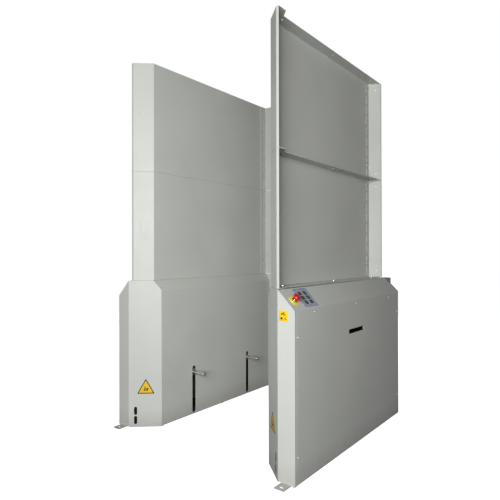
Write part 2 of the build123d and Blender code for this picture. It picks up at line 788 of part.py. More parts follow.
def make_lift_nut():
    """Flanged nut. Its flange bears on the underside of the carriage's nut block."""
    seat = pin_height - carriage_below + nut_block_rise
    body = rod(nut_radius, (drive_line, pin_middle, seat - nut_flange), (0, 0, 1), nut_block[2] + nut_flange)
    body += rod(nut_flange_radius, (drive_line, pin_middle, seat - nut_flange), (0, 0, 1), nut_flange)
    bore_start = (drive_line, pin_middle, seat - 2 * nut_flange)
    return body - rod(screw_radius + rod_fit, bore_start, (0, 0, 1), nut_block[2] + 4 * nut_flange)


def make_lift_screw():
    """Lift screw with a journal at each end; the upper one reaches into the coupling."""
    up = (0, 0, 1)
    low = floor_plate_top + screw_end_gap
    thread_low = floor_plate_top + clamp_height + screw_end_gap
    thread_top = beam_height - clamp_height - screw_end_gap
    end = beam_height + beam_thickness + coupling_gap + coupling_length / 2
    body = rod(journal_radius, (drive_line, pin_middle, low), up, end - low)
    return body + rod(screw_radius, (drive_line, pin_middle, thread_low), up, thread_top - thread_low)


def make_screw_coupling():
    """Sleeve on the screw's journal, with the gearbox's output shaft above it."""
    up = (0, 0, 1)
    start = beam_height + beam_thickness + coupling_gap
    joint = start + coupling_length / 2
    body = rod(coupling_radius, (drive_line, pin_middle, start), up, coupling_length)
    body -= rod(journal_radius, (drive_line, pin_middle, start - 1), up, coupling_length / 2 + 1)
    shaft = beam_height + beam_thickness + stand_height + gearbox_size[2] / 2
    return body + rod(journal_radius, (drive_line, pin_middle, joint), up, shaft - joint)


def make_gearbox():
    """Stand around the coupling with the gearbox on top."""
    up = (0, 0, 1)
    foot = beam_height + beam_thickness
    top = foot + stand_height
    half = (gearbox_size[0] / 2, gearbox_size[1] / 2)
    body = ring(stand_radius, stand_radius - stand_wall, (drive_line, pin_middle, foot), up, stand_height)
    case = block((drive_line - half[0], drive_line + half[0]), (pin_middle - half[1], pin_middle + half[1]),
                 (top, top + gearbox_size[2]))
    case = fillet(case.edges().filter_by(Axis.Z), half[0] / 4)
    body += case
    bore = gearbox_size[2] / 2 + 1
    return body - rod(journal_radius + journal_fit, (drive_line, pin_middle, top - 1), up, bore + 1)


def make_motor():
    """Finned motor body and its fan cowl."""
    up = (0, 0, 1)
    bottom = beam_height + beam_thickness + stand_height + gearbox_size[2]
    body = rod(motor_radius, (drive_line, pin_middle, bottom), up, motor_length - cowl_length)
    gap = pi * motor_radius / motor_fin_count
    groove = block((motor_radius - motor_fin_depth, motor_radius + 1), (-gap / 2, gap / 2),
                   (bottom + motor_band, bottom + motor_length - cowl_length + 1))
    for n in range(motor_fin_count):
        body -= Pos(drive_line, pin_middle, 0) * Rot(0, 0, 360 * n / motor_fin_count) * groove
    body += rod(motor_radius, (drive_line, pin_middle, bottom + motor_length - cowl_length), up, cowl_length)
    return body


def make_pin_housing(place):
    """Tube through the carriage plate, with flange, rear gear case and the nose block in the slot."""
    inward = (1, 0, 0)
    back = housing_front + housing_length
    body = rod(housing_radius, (housing_front, place, pin_height), inward, housing_length)
    plate_back = carriage_front + carriage_plate
    half = pin_flange[0] / 2
    body += block((plate_back, plate_back + pin_flange[2]), (place - half, place + half),
                  (pin_height - pin_flange[1] / 2, pin_height + pin_flange[1] / 2))
    half = gear_case[1] / 2
    body += block((back, back + gear_case[0]), (place - half, place + half),
                  (pin_height - housing_radius, pin_height - housing_radius + gear_case[2]))
    half = nose_block[0] / 2
    body += block((inner_wall + nose_clear, housing_front), (place - half, place + half),
                  (pin_height, pin_height + nose_block[1]))
    cavity = piston_radius + piston_fit
    body -= rod(cavity, (housing_front, place, pin_height), inward, housing_length - housing_end)
    return body - rod(pin_radius + nose_bore_clear, (inner_wall, place, pin_height), inward, housing_length / 2)


def make_pin_bush(place):
    start = (housing_front, place, pin_height)
    return ring(piston_radius + piston_fit, pin_radius + piston_fit, start, (1, 0, 0), pin_bush_length)


def make_lift_pin(place):
    """Round pin with a rounded tip and the piston that drives it."""
    tip = inner_wall - pin_reach
    body = rod(pin_radius, (tip, place, pin_height), (1, 0, 0), pin_body)
    body = fillet(body.edges().sort_by(Axis.X)[0], pin_tip)
    start = tip + pin_body - piston_length
    return body + rod(piston_radius, (start, place, pin_height), (1, 0, 0), piston_length)


def make_pin_motor(place):
    """Small motor above the pin housing, on the front of the gear case."""
    back = housing_front + housing_length
    start = (back - pin_motor_length, place, pin_height + pin_motor_rise)
    body = rod(pin_motor_radius, start, (1, 0, 0), pin_motor_length)
    return fillet(body.edges().sort_by(Axis.X)[0], pin_tip)


def make_photocell(height):
    """Sensor behind the bevel; its window fills the slot."""
    width, tall, deep = photocell_body
    behind = bevel_plane(photocell_along, height, -shell_sheet)
    body = extrude(behind * Rectangle(width, tall), -deep)
    return body + extrude(behind * SlotOverall(window_height, window_width, rotation=90), shell_sheet - 1)


def make_hazard_sign():
    """Triangular sticker on the front bevel."""
    tall = sign_side * sqrt(3) / 2
    corners = [(-sign_side / 2, -tall / 3), (sign_side / 2, -tall / 3), (0, 2 * tall / 3)]
    outline = corner_rounding(make_face(Polyline(*corners, close=True)), corners, sign_corner)
    return extrude(bevel_plane(sign_along, sign_height - tall / 6) * outline, sticker)


def make_front_label():
    left = outer_side - label_inset
    x = (left, left + label_size[0])
    return block(x, (front - sticker, front), (label_bottom, label_bottom + label_size[1]))


def estop_cylinder(radius, low, high):
    """A cylinder on the emergency stop's axis, between two heights above the slope."""
    plane = slope_plane(estop_down, estop_along, low)
    return plane * Cylinder(radius, high - low, align=(Align.CENTER, Align.CENTER, Align.MIN))


def make_estop():
    """Yellow plate, collar, stem, mushroom head and contact block, in that order."""
    collar_top = estop_plate + estop_collar_height
    head_low = collar_top + estop_travel + estop_gap
    head_top = head_low + estop_head
    cap_low = head_top - estop_cap
    stem_low = -estop_barrel + estop_travel + estop_stem_inset
    peg_top = head_low + estop_peg
    bore = estop_stem_radius + estop_fit
    plate = estop_cylinder(estop_plate_radius, 0, estop_plate)
    plate -= estop_cylinder(estop_hole, -1, estop_plate + 1)
    collar = estop_cylinder(estop_hole, -estop_barrel, estop_plate)
    collar += estop_cylinder(estop_collar_radius, estop_plate, collar_top)
    collar -= estop_cylinder(bore, -estop_barrel - 1, collar_top + 1)
    stem = estop_cylinder(estop_stem_radius, stem_low, head_low)
    stem += estop_cylinder(estop_peg_radius, head_low, peg_top)
    head = estop_cylinder(estop_head_radius, cap_low, head_top)
    head = fillet(head.edges().filter_by(GeomType.CIRCLE), estop_cap_edge)
    head += estop_cylinder(estop_neck_radius, head_low, cap_low + 1)
    head -= estop_cylinder(estop_peg_radius + estop_fit, head_low - 1, peg_top + 1)
    contact_plane = slope_plane(estop_down, estop_along, -estop_barrel)
    contacts = extrude(contact_plane * Rectangle(*estop_contacts[:2]), -estop_contacts[2])
    return plate, collar, stem, head, contacts


def make_keypad():
    """Membrane keypad: one plate with six raised key fields."""
    wide, tall = keypad_size
    plane = slope_plane(keypad_top + tall / 2, keypad_along)
    body = extrude(plane * RectangleRounded(wide, tall, keypad_corner), keypad_plate)
    for down in key_rows:
        for across in key_columns:
            field = slope_plane(keypad_top + down, keypad_along + across, keypad_plate)
            body += extrude(field * RectangleRounded(*key_size, key_corner), key_rise)
    return body


def make_control_box():
    """Closed box on the front post."""
    end = post_places()[0][0]
    outer = outer_side - cover_sheet - control_box_gap
    x = (outer - control_box[0], outer)
    z = (control_box_bottom, control_box_bottom + control_box[2])
    body = block(x, (end - control_box[1], end), z)
    wall = control_box_wall
    inside = (end - control_box[1] + wall, end - wall)
    return body - block((x[0] + wall, x[1] - wall), inside, (z[0] + wall, z[1] - wall))


def gland_cylinder(radius, start, length):
    """A cylinder on the gland's axis, from a place behind the cabinet's rear face."""
    return rod(radius, (gland_line, rear + start, gland_height), (0, 1, 0), length)


def make_cable_gland():
    """Gland through the rear end plate, with its cable bore open."""
    body = gland_cylinder(gland_thread, -gland_body, gland_body)
    body += hexagon(gland_nut, (gland_line, rear, gland_height), (0, 1, 0), gland_flange)
    body += gland_cylinder(gland_cap_radius, gland_flange, gland_cap)
    body += hexagon(gland_nut, (gland_line, rear - shell_sheet, gland_height), (0, -1, 0), gland_locknut)
    return body - gland_cylinder(gland_bore, -gland_body - 1, gland_body + gland_flange + gland_cap + 2)


def make_cover_screw(y, z):
    """Button head outside the cover, shank into the flange behind it."""
    head = rod(screw_head, (outer_side, y, z), (1, 0, 0), screw_head_height)
    head = fillet(head.edges().sort_by(Axis.X)[-1], screw_head_height * 0.6)
    return head + rod(screw, (outer_side, y, z), (-1, 0, 0), cover_sheet + shell_sheet)


# Structure and covers
estop_cut = estop_cylinder(estop_hole, -3 * cover_sheet, cover_sheet)
ribbon_place = slope_plane(keypad_top + keypad_size[1] / 2, keypad_along, cover_sheet)
ribbon_cut = extrude(ribbon_place * Rectangle(*ribbon_slot), -4 * cover_sheet)
save_both("base_frame", make_base_frame())
save_both("inner_shell", make_inner_shell())
save("right_slope_panel", make_slope_panel([estop_cut, ribbon_cut]))
save("left_slope_panel", mirrored(make_slope_panel([])))
save_both("outer_cover", make_outer_cover())
save_both("rear_end_plate", make_rear_end_plate())
save_both("lower_tower", make_tower(deck_height))
save_both("upper_tower", make_tower(seam_height))
save_both("rear_stops", make_cabinet_stop(), make_tower_stop(deck_height), make_tower_stop(seam_height))
save_shared("anchor_lugs", make_anchor_lug(-1), make_anchor_lug(1))
save_shared("lug_bolts", *make_lug_bolts())
tower_bolts, tower_nuts = make_tower_bolts_and_nuts()
save_shared("tower_bolts", *tower_bolts)
save_shared("tower_nuts", *tower_nuts)
save_shared("cover_screws", *[make_cover_screw(y, z) for y, z in cover_screw_places])
save_shared("hazard_signs", make_hazard_sign())
save_shared("photocells", *[make_photocell(height) for height in photocell_heights])
save_shared("cable_glands", make_cable_gland())

# Lift
save_both("drive_beam", make_drive_beam())
save_both("guide_rods", *make_guide_rods())
save_shared("rod_clamps", *make_rod_clamps())
save_shared("screw_bearings", *make_screw_bearings())
save_both("gearbox", make_gearbox())
save_both("motor", make_motor())
save_both("lift_screw", make_lift_screw())
save_both("screw_coupling", make_screw_coupling())
save_both("lift_nut", make_lift_nut())
save_both("lift_carriage", make_lift_carriage())
save_both("carriage_bushes", *make_carriage_bushes())

# Pins and their drives
save_both("pin_housings", *[make_pin_housing(place) for place in pin_places])
save_both("pin_bushes", *[make_pin_bush(place) for place in pin_places])
save_both("lift_pins", *[make_lift_pin(place) for place in pin_places])
save_both("pin_motors", *[make_pin_motor(place) for place in pin_places])

# Control panel
for name, piece in zip(("plate", "collar", "stem", "button", "contacts"), make_estop()):
    save("estop_" + name, piece)
save("keypad", make_keypad())
save("front_label", make_front_label())
save("control_box", make_control_box())
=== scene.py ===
import json
from math import atan2, cos, degrees, pi, radians, sin, sqrt

import bpy
from mathutils import Matrix, Vector


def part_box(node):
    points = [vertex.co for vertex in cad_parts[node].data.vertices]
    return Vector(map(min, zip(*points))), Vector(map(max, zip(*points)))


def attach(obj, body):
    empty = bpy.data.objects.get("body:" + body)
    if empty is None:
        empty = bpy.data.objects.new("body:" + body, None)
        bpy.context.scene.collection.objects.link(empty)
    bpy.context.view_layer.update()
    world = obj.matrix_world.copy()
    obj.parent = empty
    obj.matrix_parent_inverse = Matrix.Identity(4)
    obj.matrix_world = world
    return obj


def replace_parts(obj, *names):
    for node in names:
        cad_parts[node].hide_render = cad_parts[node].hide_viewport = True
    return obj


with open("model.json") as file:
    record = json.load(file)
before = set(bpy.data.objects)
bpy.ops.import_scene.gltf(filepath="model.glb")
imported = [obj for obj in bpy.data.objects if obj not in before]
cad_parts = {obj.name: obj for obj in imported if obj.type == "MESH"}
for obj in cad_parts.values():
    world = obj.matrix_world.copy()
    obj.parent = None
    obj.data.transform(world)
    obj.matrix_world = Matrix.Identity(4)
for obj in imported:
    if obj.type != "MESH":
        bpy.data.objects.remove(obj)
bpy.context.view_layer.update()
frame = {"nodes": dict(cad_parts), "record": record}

nodes = frame["nodes"]
sides = {"right": 1, "left": -1}
print("frame loaded:", len(nodes), "nodes")


# Selecting and editing

def letGo():
    if bpy.context.object and bpy.context.object.mode != "OBJECT":
        bpy.ops.object.mode_set(mode="OBJECT")
    bpy.ops.object.select_all(action="DESELECT")


def take(piece):
    letGo()
    piece.select_set(True)
    bpy.context.view_layer.objects.active = piece


def pickFaces(piece, wanted):
    # edit mode with only the wanted faces selected
    take(piece)
    bpy.context.tool_settings.mesh_select_mode = (False, False, True)
    mesh = piece.data
    mesh.vertices.foreach_set("select", [False] * len(mesh.vertices))
    mesh.edges.foreach_set("select", [False] * len(mesh.edges))
    for face in mesh.polygons:
        face.select = wanted(face.center, face.normal)
    bpy.ops.object.mode_set(mode="EDIT")


def pickEdges(piece, wanted):
    # edit mode with only the wanted edges selected
    take(piece)
    bpy.context.tool_settings.mesh_select_mode = (False, True, False)
    mesh = piece.data
    mesh.vertices.foreach_set("select", [False] * len(mesh.vertices))
    mesh.polygons.foreach_set("select", [False] * len(mesh.polygons))
    for edge in mesh.edges:
        edge.select = wanted(edge)
    bpy.ops.object.mode_set(mode="EDIT")


def roundCorners(piece, thick, radius, steps):
    # rounds the upright edges of a flat plate
    def upright(edge):
        a, b = (piece.data.vertices[n].co.z for n in edge.vertices)
        return abs(a - b) > thick / 2

    pickEdges(piece, upright)
    bpy.ops.mesh.bevel(offset=radius, segments=steps, affect="EDGES")
    bpy.ops.object.mode_set(mode="OBJECT")


def stepTop(piece, top, border, wall, rise):
    # leaves a border on the top face and raises or sinks what is inside it
    pickFaces(piece, lambda centre, normal: normal.z > 0.9 and centre.z > top * 0.9)
    bpy.ops.mesh.inset(thickness=border, depth=0.0)
    bpy.ops.mesh.inset(thickness=wall, depth=rise)
    bpy.ops.object.mode_set(mode="OBJECT")


def roundEdges(piece, width, steps=2, angle=40):
    take(piece)
    bevel = piece.modifiers.new("edges", "BEVEL")
    bevel.width = width
    bevel.segments = steps
    bevel.limit_method = "ANGLE"
    bevel.angle_limit = radians(angle)
    bpy.ops.object.modifier_apply(modifier=bevel.name)
    return piece


def place(piece, matrix):
    # moves a piece there and leaves its object at the origin
    take(piece)
    piece.matrix_world = matrix
    bpy.ops.object.transform_apply(location=True, rotation=True, scale=True)
    return piece


def shift(piece, x, y, z, turn=0.0):
    return place(piece, Matrix.Translation((x, y, z)) @ Matrix.Rotation(turn, 4, "Z"))


def copyTo(piece, matrix):
    take(piece)
    bpy.ops.object.duplicate()
    return place(bpy.context.object, matrix)


def joined(name, pieces):
    take(pieces[0])
    for piece in pieces:
        piece.select_set(True)
    if len(pieces) > 1:
        bpy.ops.object.join()
    pieces[0].name = name
    pieces[0].data.name = name
    return pieces[0]


def remove(piece):
    take(piece)
    bpy.ops.object.delete()


def slab(size, edge=0.0, steps=2, centre=(0, 0, 0)):
    # a block with rounded edges
    letGo()
    bpy.ops.mesh.primitive_cube_add(size=1, location=centre)
    piece = bpy.context.object
    piece.scale = size
    bpy.ops.object.transform_apply(location=True, rotation=True, scale=True)
    return roundEdges(piece, edge, steps) if edge else piece


def plate(across, tall, thick, corner, edge=0.0, steps=6):
    # a flat plate standing on z = 0, with round corners
    piece = slab((across, tall, thick), centre=(0, 0, thick / 2))
    roundCorners(piece, thick, corner, steps)
    return roundEdges(piece, edge, 2) if edge else piece


# a solid profile ends this close to its axis
tipRadius = 0.0004


def turned(profile, around=40, ring=False):
    # a shape of revolution about Z: a circle carried through (radius, height) steps
    letGo()
    radius, height = profile[0]
    bpy.ops.mesh.primitive_circle_add(vertices=around, radius=radius, fill_type="NOTHING" if ring else "NGON",
                                      location=(0, 0, height))
    piece = bpy.context.object
    bpy.ops.object.transform_apply(location=True)
    bpy.context.tool_settings.mesh_select_mode = (True, False, False)
    bpy.ops.object.mode_set(mode="EDIT")
    bpy.ops.mesh.select_all(action="SELECT")
    for nextRadius, nextHeight in profile[1:]:
        bpy.ops.mesh.extrude_region_move(TRANSFORM_OT_translate={"value": (0, 0, nextHeight - height)})
        k = nextRadius / radius
        if abs(k - 1) > 1e-6:
            bpy.ops.transform.resize(value=(k, k, 1), center_override=(0, 0, nextHeight))
        radius, height = nextRadius, nextHeight
    bpy.ops.mesh.select_all(action="SELECT")
    bpy.ops.mesh.remove_doubles(threshold=1e-6)
    bpy.ops.mesh.normals_make_consistent(inside=False)
    bpy.ops.object.mode_set(mode="OBJECT")
    return piece


def hexagonal(piece, low, high, flat, most=1.0):
    # points between two heights, outside the flats' circle and within most, are drawn in to a hexagon
    gap = 1e-6
    for point in piece.data.vertices:
        reach = point.co.xy.length
        if low - gap <= point.co.z <= high + gap and flat * 0.99 < reach < most:
            turn = atan2(point.co.y, point.co.x) % (pi / 3) - pi / 6
            k = flat / cos(turn) / reach
            point.co.x *= k
            point.co.y *= k
    return piece


def arc(centre, radius, start, end, steps):
    # points round a corner of a profile, for turned()
    turns = [radians(start + (end - start) * n / steps) for n in range(steps + 1)]
    return [(centre[0] + radius * cos(t), centre[1] + radius * sin(t)) for t in turns]


def finishPiece(piece, finish, body, slotName, *replaced):
    # gives a piece its finish, its body and the node that it stands for
    take(piece)
    bpy.ops.object.shade_smooth_by_angle(angle=radians(32))
    if finish:
        piece.data.materials.clear()
        piece.data.materials.append(finish)
    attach(piece, body)
    if replaced:
        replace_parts(piece, *replaced)
    return piece


# Places read from the frame

def solidBoxes(node):
    # the lowest and highest corner of each separate solid in a node
    mesh = nodes[node].data
    keys = [tuple(round(value, 5) for value in point.co) for point in mesh.vertices]
    parent = {}

    def root(key):
        while parent.setdefault(key, key) != key:
            parent[key] = parent[parent[key]]
            key = parent[key]
        return key

    for face in mesh.polygons:
        first = root(keys[face.vertices[0]])
        for corner in face.vertices[1:]:
            parent[root(keys[corner])] = first
    groups = {}
    for key in set(keys):
        groups.setdefault(root(key), []).append(key)
    boxes = []
    for points in groups.values():
        low = Vector([min(p[n] for p in points) for n in range(3)])
        high = Vector([max(p[n] for p in points) for n in range(3)])
        boxes.append((low, high))
    return sorted(boxes, key=lambda box: tuple(box[0]))


def middle(box):
    return (box[0] + box[1]) / 2


def axes(origin, across, out):
    # local x runs across, local z points out
    out = Vector(out).normalized()
    across = Vector(across).normalized()
    turn = Matrix((across, out.cross(across), out)).transposed().to_4x4()
    return Matrix.Translation(origin) @ turn


slopeOut = Vector((1, 0, 1)).normalized()


# Finishes

def newFinish(name):
    finish = bpy.data.materials.new(name)
    finish.use_nodes = True
    return finish, finish.node_tree, finish.node_tree.nodes["Principled BSDF"]


def add(tree, kind, **values):
    node = tree.nodes.new(kind)
    for name, value in values.items():
        if name in node.inputs:
            node.inputs[name].default_value = value
        else:
            setattr(node, name, value)
    return node


def objectPoints(tree, scale=(1, 1, 1)):
    source = add(tree, "ShaderNodeTexCoord")
    mapping = add(tree, "ShaderNodeMapping", Scale=scale)
    tree.links.new(source.outputs["Object"], mapping.inputs["Vector"])
    return mapping.outputs["Vector"]


def noise(tree, points, scale, detail=3.0, rough=0.5):
    node = add(tree, "ShaderNodeTexNoise", Scale=scale, Detail=detail, Roughness=rough)
    tree.links.new(points, node.inputs["Vector"])
    return node.outputs["Fac"]


def spread(tree, value, low, high, toLow, toHigh):
    node = add(tree, "ShaderNodeMapRange")
    for name, number in (("From Min", low), ("From Max", high), ("To Min", toLow), ("To Max", toHigh)):
        node.inputs[name].default_value = number
    tree.links.new(value, node.inputs["Value"])
    return node.outputs["Result"]


def blended(tree, share, first, second):
    # colours or colour sockets, mixed by a share
    node = add(tree, "ShaderNodeMix", data_type="RGBA")
    for socket, value in ((node.inputs[6], first), (node.inputs[7], second)):
        if isinstance(value, tuple):
            socket.default_value = (*value, 1)
        else:
            tree.links.new(value, socket)
    tree.links.new(share, node.inputs[0])
    return node.outputs[2]


def times(tree, a, b):
    node = add(tree, "ShaderNodeMath", operation="MULTIPLY")
    tree.links.new(a, node.inputs[0])
    if isinstance(b, float):
        node.inputs[1].default_value = b
    else:
        tree.links.new(b, node.inputs[1])
    return node.outputs[0]


def bumps(tree, shader, layers):
    # each layer is a height and its depth in metres
    normal = None
    for height, depth in layers:
        bump = add(tree, "ShaderNodeBump", Distance=depth, Strength=1.0)
        tree.links.new(height, bump.inputs["Height"])
        if normal:
            tree.links.new(normal, bump.inputs["Normal"])
        normal = bump.outputs["Normal"]
    tree.links.new(normal, shader.inputs["Normal"])


def lighter(colour, factor, lift=0.0):
    return tuple(min(1.0, value * factor + lift) for value in colour)


def edgeShare(tree, width):
    # 1 on the sharp edges of a piece, 0 on its faces
    soft = add(tree, "ShaderNodeBevel", samples=4, Radius=width)
    shape = add(tree, "ShaderNodeNewGeometry")
    dot = add(tree, "ShaderNodeVectorMath", operation="DOT_PRODUCT")
    tree.links.new(soft.outputs["Normal"], dot.inputs[0])
    tree.links.new(shape.outputs["Normal"], dot.inputs[1])
    return spread(tree, dot.outputs["Value"], 0.98, 0.75, 0.0, 1.0)


powderCoats = {
    "cabinetPaint": {"colour": (0.585, 0.598, 0.560), "shade": (0.550, 0.565, 0.530),
                     "worn": (0.70, 0.70, 0.68), "rough": (0.42, 0.52), "peel": 0.00005},
    "rearPaint": {"colour": (0.095, 0.096, 0.094), "shade": (0.075, 0.076, 0.074), "worn": (0.16, 0.16, 0.16),
                  "rough": (0.42, 0.52), "peel": 0.00005},
    "framePaint": {"colour": (0.035, 0.036, 0.040), "shade": (0.050, 0.050, 0.055),
                   "worn": (0.11, 0.11, 0.11), "rough": (0.45, 0.60), "peel": 0.00008},
    "boxPaint": {"colour": (0.42, 0.43, 0.43), "shade": (0.36, 0.37, 0.37), "worn": (0.55, 0.55, 0.55),
                 "rough": (0.40, 0.50), "peel": 0.00006},
}
soiling = {"top": 0.12, "strength": 0.55, "colour": (0.20, 0.19, 0.17)}
scuffs = {"grain": (160, 160, 7), "strength": 0.35, "lighter": 1.18}
paintEdge = {"width": 0.0016, "strength": 0.30}
paintGloss = 0.35
waviness = 0.0012


def powderCoat(name):
    # sprayed and baked paint: orange peel, slow tone drift, soiling near the floor, scuffs, and sharp edges
    # lightened partly as wear and partly as a painted highlight
    look = powderCoats[name]
    finish, tree, shader = newFinish(name)
    points = objectPoints(tree)
    drift = noise(tree, points, 2.3, 4.0)
    colour = blended(tree, spread(tree, drift, 0.35, 0.65, 0.0, 1.0), look["colour"], look["shade"])
    # dust settles low on the sheets
    place = add(tree, "ShaderNodeSeparateXYZ")
    tree.links.new(points, place.inputs["Vector"])
    low = spread(tree, place.outputs["Z"], soiling["top"], 0.0, 0.0, 1.0)
    soil = times(tree, times(tree, low, noise(tree, points, 38.0, 5.0, 0.7)), soiling["strength"])
    colour = blended(tree, soil, colour, soiling["colour"])
    # fine upright scuffs
    scuff = noise(tree, objectPoints(tree, scuffs["grain"]), 1.0, 6.0, 0.75)
    scuff = spread(tree, scuff, 0.66, 0.8, 0.0, scuffs["strength"])
    colour = blended(tree, scuff, colour, lighter(look["colour"], scuffs["lighter"]))
    # sharp edges are lightened: partly worn paint, partly a painted highlight where the edges catch the light
    edge = times(tree, edgeShare(tree, paintEdge["width"]), paintEdge["strength"])
    colour = blended(tree, edge, colour, look["worn"])
    tree.links.new(colour, shader.inputs["Base Color"])
    roughness = spread(tree, noise(tree, points, 11.0, 5.0, 0.65), 0.3, 0.7, *look["rough"])
    tree.links.new(roughness, shader.inputs["Roughness"])
    peel = noise(tree, points, 620.0, 2.0)
    waves = noise(tree, points, 2.6, 1.0)
    bumps(tree, shader, [(waves, waviness), (peel, look["peel"])])
    shader.inputs["Specular IOR Level"].default_value = paintGloss
    return finish


metals = {
    "groundSteel": {"colour": (0.80, 0.80, 0.79), "shade": (0.66, 0.66, 0.66), "rough": (0.22, 0.32),
                    "grain": (900, 60, 60), "depth": 0.00002},
    "zincPlate": {"colour": (0.66, 0.67, 0.68), "shade": (0.48, 0.49, 0.50), "rough": (0.28, 0.5),
                  "grain": (240, 240, 240), "depth": 0.00003},
    # near-white zinc of the cover screws: partly the plating's colour, partly a painted glint that makes the
    # heads show as bright dots
    "zincWithPaintedGlint": {"colour": (0.92, 0.92, 0.92), "shade": (0.84, 0.84, 0.85), "rough": (0.30, 0.45),
                   "grain": (240, 240, 240), "depth": 0.00002, "metallic": 0.45},
    "dullZinc": {"colour": (0.36, 0.365, 0.37), "shade": (0.25, 0.255, 0.26), "rough": (0.42, 0.58),
                 "grain": (240, 240, 240), "depth": 0.00003},
    "machinedSteel": {"colour": (0.55, 0.55, 0.55), "shade": (0.42, 0.42, 0.43), "rough": (0.25, 0.42),
                      "grain": (60, 60, 900), "depth": 0.00003},
    "anodised": {"colour": (0.60, 0.61, 0.62), "shade": (0.50, 0.51, 0.52), "rough": (0.35, 0.5),
                 "grain": (420, 420, 420), "depth": 0.00003},
    "bearingBronze": {"colour": (0.62, 0.42, 0.18), "shade": (0.45, 0.28, 0.11), "rough": (0.3, 0.5),
                      "grain": (200, 200, 500), "depth": 0.00003},
    "polishedChrome": {"colour": (0.80, 0.80, 0.81), "shade": (0.70, 0.71, 0.72), "rough": (0.06, 0.16),
                       "grain": (300, 300, 300), "depth": 0.00001},
    "castIron": {"colour": (0.12, 0.12, 0.125), "shade": (0.07, 0.07, 0.075), "rough": (0.55, 0.75),
                 "grain": (260, 260, 260), "depth": 0.0004},
}
metalEdge = {"width": 0.0007, "strength": 0.5, "lighter": 1.25}


def metal(name):
    look = metals[name]
    finish, tree, shader = newFinish(name)
    points = objectPoints(tree)
    grain = noise(tree, objectPoints(tree, look["grain"]), 1.0, 3.0, 0.6)
    stain = noise(tree, points, 31.0, 5.0, 0.7)
    colour = blended(tree, spread(tree, stain, 0.4, 0.68, 0.0, 1.0), look["colour"], look["shade"])
    # sharp edges are lightened: partly wear, partly a painted highlight where the edges catch the light
    worn = times(tree, edgeShare(tree, metalEdge["width"]), metalEdge["strength"])
    colour = blended(tree, worn, colour, lighter(look["colour"], metalEdge["lighter"]))
    tree.links.new(colour, shader.inputs["Base Color"])
    tree.links.new(spread(tree, grain, 0.3, 0.7, *look["rough"]), shader.inputs["Roughness"])
    bumps(tree, shader, [(grain, look["depth"])])
    shader.inputs["Metallic"].default_value = look.get("metallic", 1.0)
    return finish


plastics = {
    "stopRed": {"colour": (0.62, 0.012, 0.012), "shade": (0.50, 0.008, 0.01), "rough": (0.10, 0.2),
                "grain": 700.0, "depth": 0.00001, "coat": 0.6},
    "signYellow": {"colour": (0.86, 0.56, 0.01), "shade": (0.78, 0.50, 0.01), "rough": (0.32, 0.45),
                   "grain": 300.0, "depth": 0.00002, "coat": 0.2},
    "stopYellow": {"colour": (1.0, 0.74, 0.03), "shade": (0.94, 0.68, 0.03), "rough": (0.3, 0.42),
                   "grain": 300.0, "depth": 0.00002, "coat": 0.2},
    "signBlack": {"colour": (0.012, 0.012, 0.013), "shade": (0.02, 0.02, 0.02), "rough": (0.35, 0.5),
                  "grain": 300.0, "depth": 0.00002, "coat": 0.1},
    "signOrange": {"colour": (0.80, 0.16, 0.01), "shade": (0.70, 0.13, 0.01), "rough": (0.35, 0.5),
                   "grain": 300.0, "depth": 0.00002, "coat": 0.1},
    "sensorWindow": {"colour": (0.004, 0.004, 0.005), "shade": (0.008, 0.006, 0.008), "rough": (0.22, 0.34),
                     "grain": 90.0, "depth": 0.00001, "coat": 0.0, "gloss": 0.12},
    "blackNylon": {"colour": (0.022, 0.022, 0.024), "shade": (0.035, 0.035, 0.036), "rough": (0.45, 0.62),
                   "grain": 520.0, "depth": 0.00006, "coat": 0.0},
    "keypadFilm": {"colour": (0.37, 0.40, 0.47), "shade": (0.33, 0.36, 0.43), "rough": (0.36, 0.5),
                   "grain": 1400.0, "depth": 0.00003, "coat": 0.1},
    "keyFilm": {"colour": (0.030, 0.042, 0.046), "shade": (0.045, 0.058, 0.062), "rough": (0.36, 0.5),
                "grain": 1400.0, "depth": 0.00003, "coat": 0.1},
    "printLight": {"colour": (0.30, 0.33, 0.37), "shade": (0.26, 0.29, 0.33), "rough": (0.4, 0.5),
                   "grain": 900.0, "depth": 0.00002, "coat": 0.0},
    "rubberSeal": {"colour": (0.018, 0.018, 0.018), "shade": (0.03, 0.03, 0.03), "rough": (0.6, 0.8),
                   "grain": 420.0, "depth": 0.00008, "coat": 0.0},
}
rubs = {"grain": (90, 420, 90), "strength": 0.25, "lighter": 1.3, "lift": 0.01}
coatRoughness = 0.06


def plastic(name):
    look = plastics[name]
    finish, tree, shader = newFinish(name)
    points = objectPoints(tree)
    grain = noise(tree, points, look["grain"], 2.0)
    tone = spread(tree, noise(tree, points, 24.0, 4.0), 0.35, 0.65, 0.0, 1.0)
    colour = blended(tree, tone, look["colour"], look["shade"])
    rubbed = noise(tree, objectPoints(tree, rubs["grain"]), 1.0, 5.0, 0.7)
    rubbed = spread(tree, rubbed, 0.62, 0.8, 0.0, rubs["strength"])
    colour = blended(tree, rubbed, colour, lighter(look["colour"], rubs["lighter"], rubs["lift"]))
    tree.links.new(colour, shader.inputs["Base Color"])
    roughness = spread(tree, noise(tree, points, 60.0, 4.0), 0.3, 0.7, *look["rough"])
    tree.links.new(roughness, shader.inputs["Roughness"])
    bumps(tree, shader, [(grain, look["depth"])])
    shader.inputs["Specular IOR Level"].default_value = look.get("gloss", 0.5)
    shader.inputs["Coat Weight"].default_value = look["coat"]
    shader.inputs["Coat Roughness"].default_value = coatRoughness
    return finish


finishes = {name: powderCoat(name) for name in powderCoats}
finishes.update({name: metal(name) for name in metals})
finishes.update({name: plastic(name) for name in plastics})
print("finishes:", len(finishes))


# CAD nodes that keep their shape get a finish by their material slot

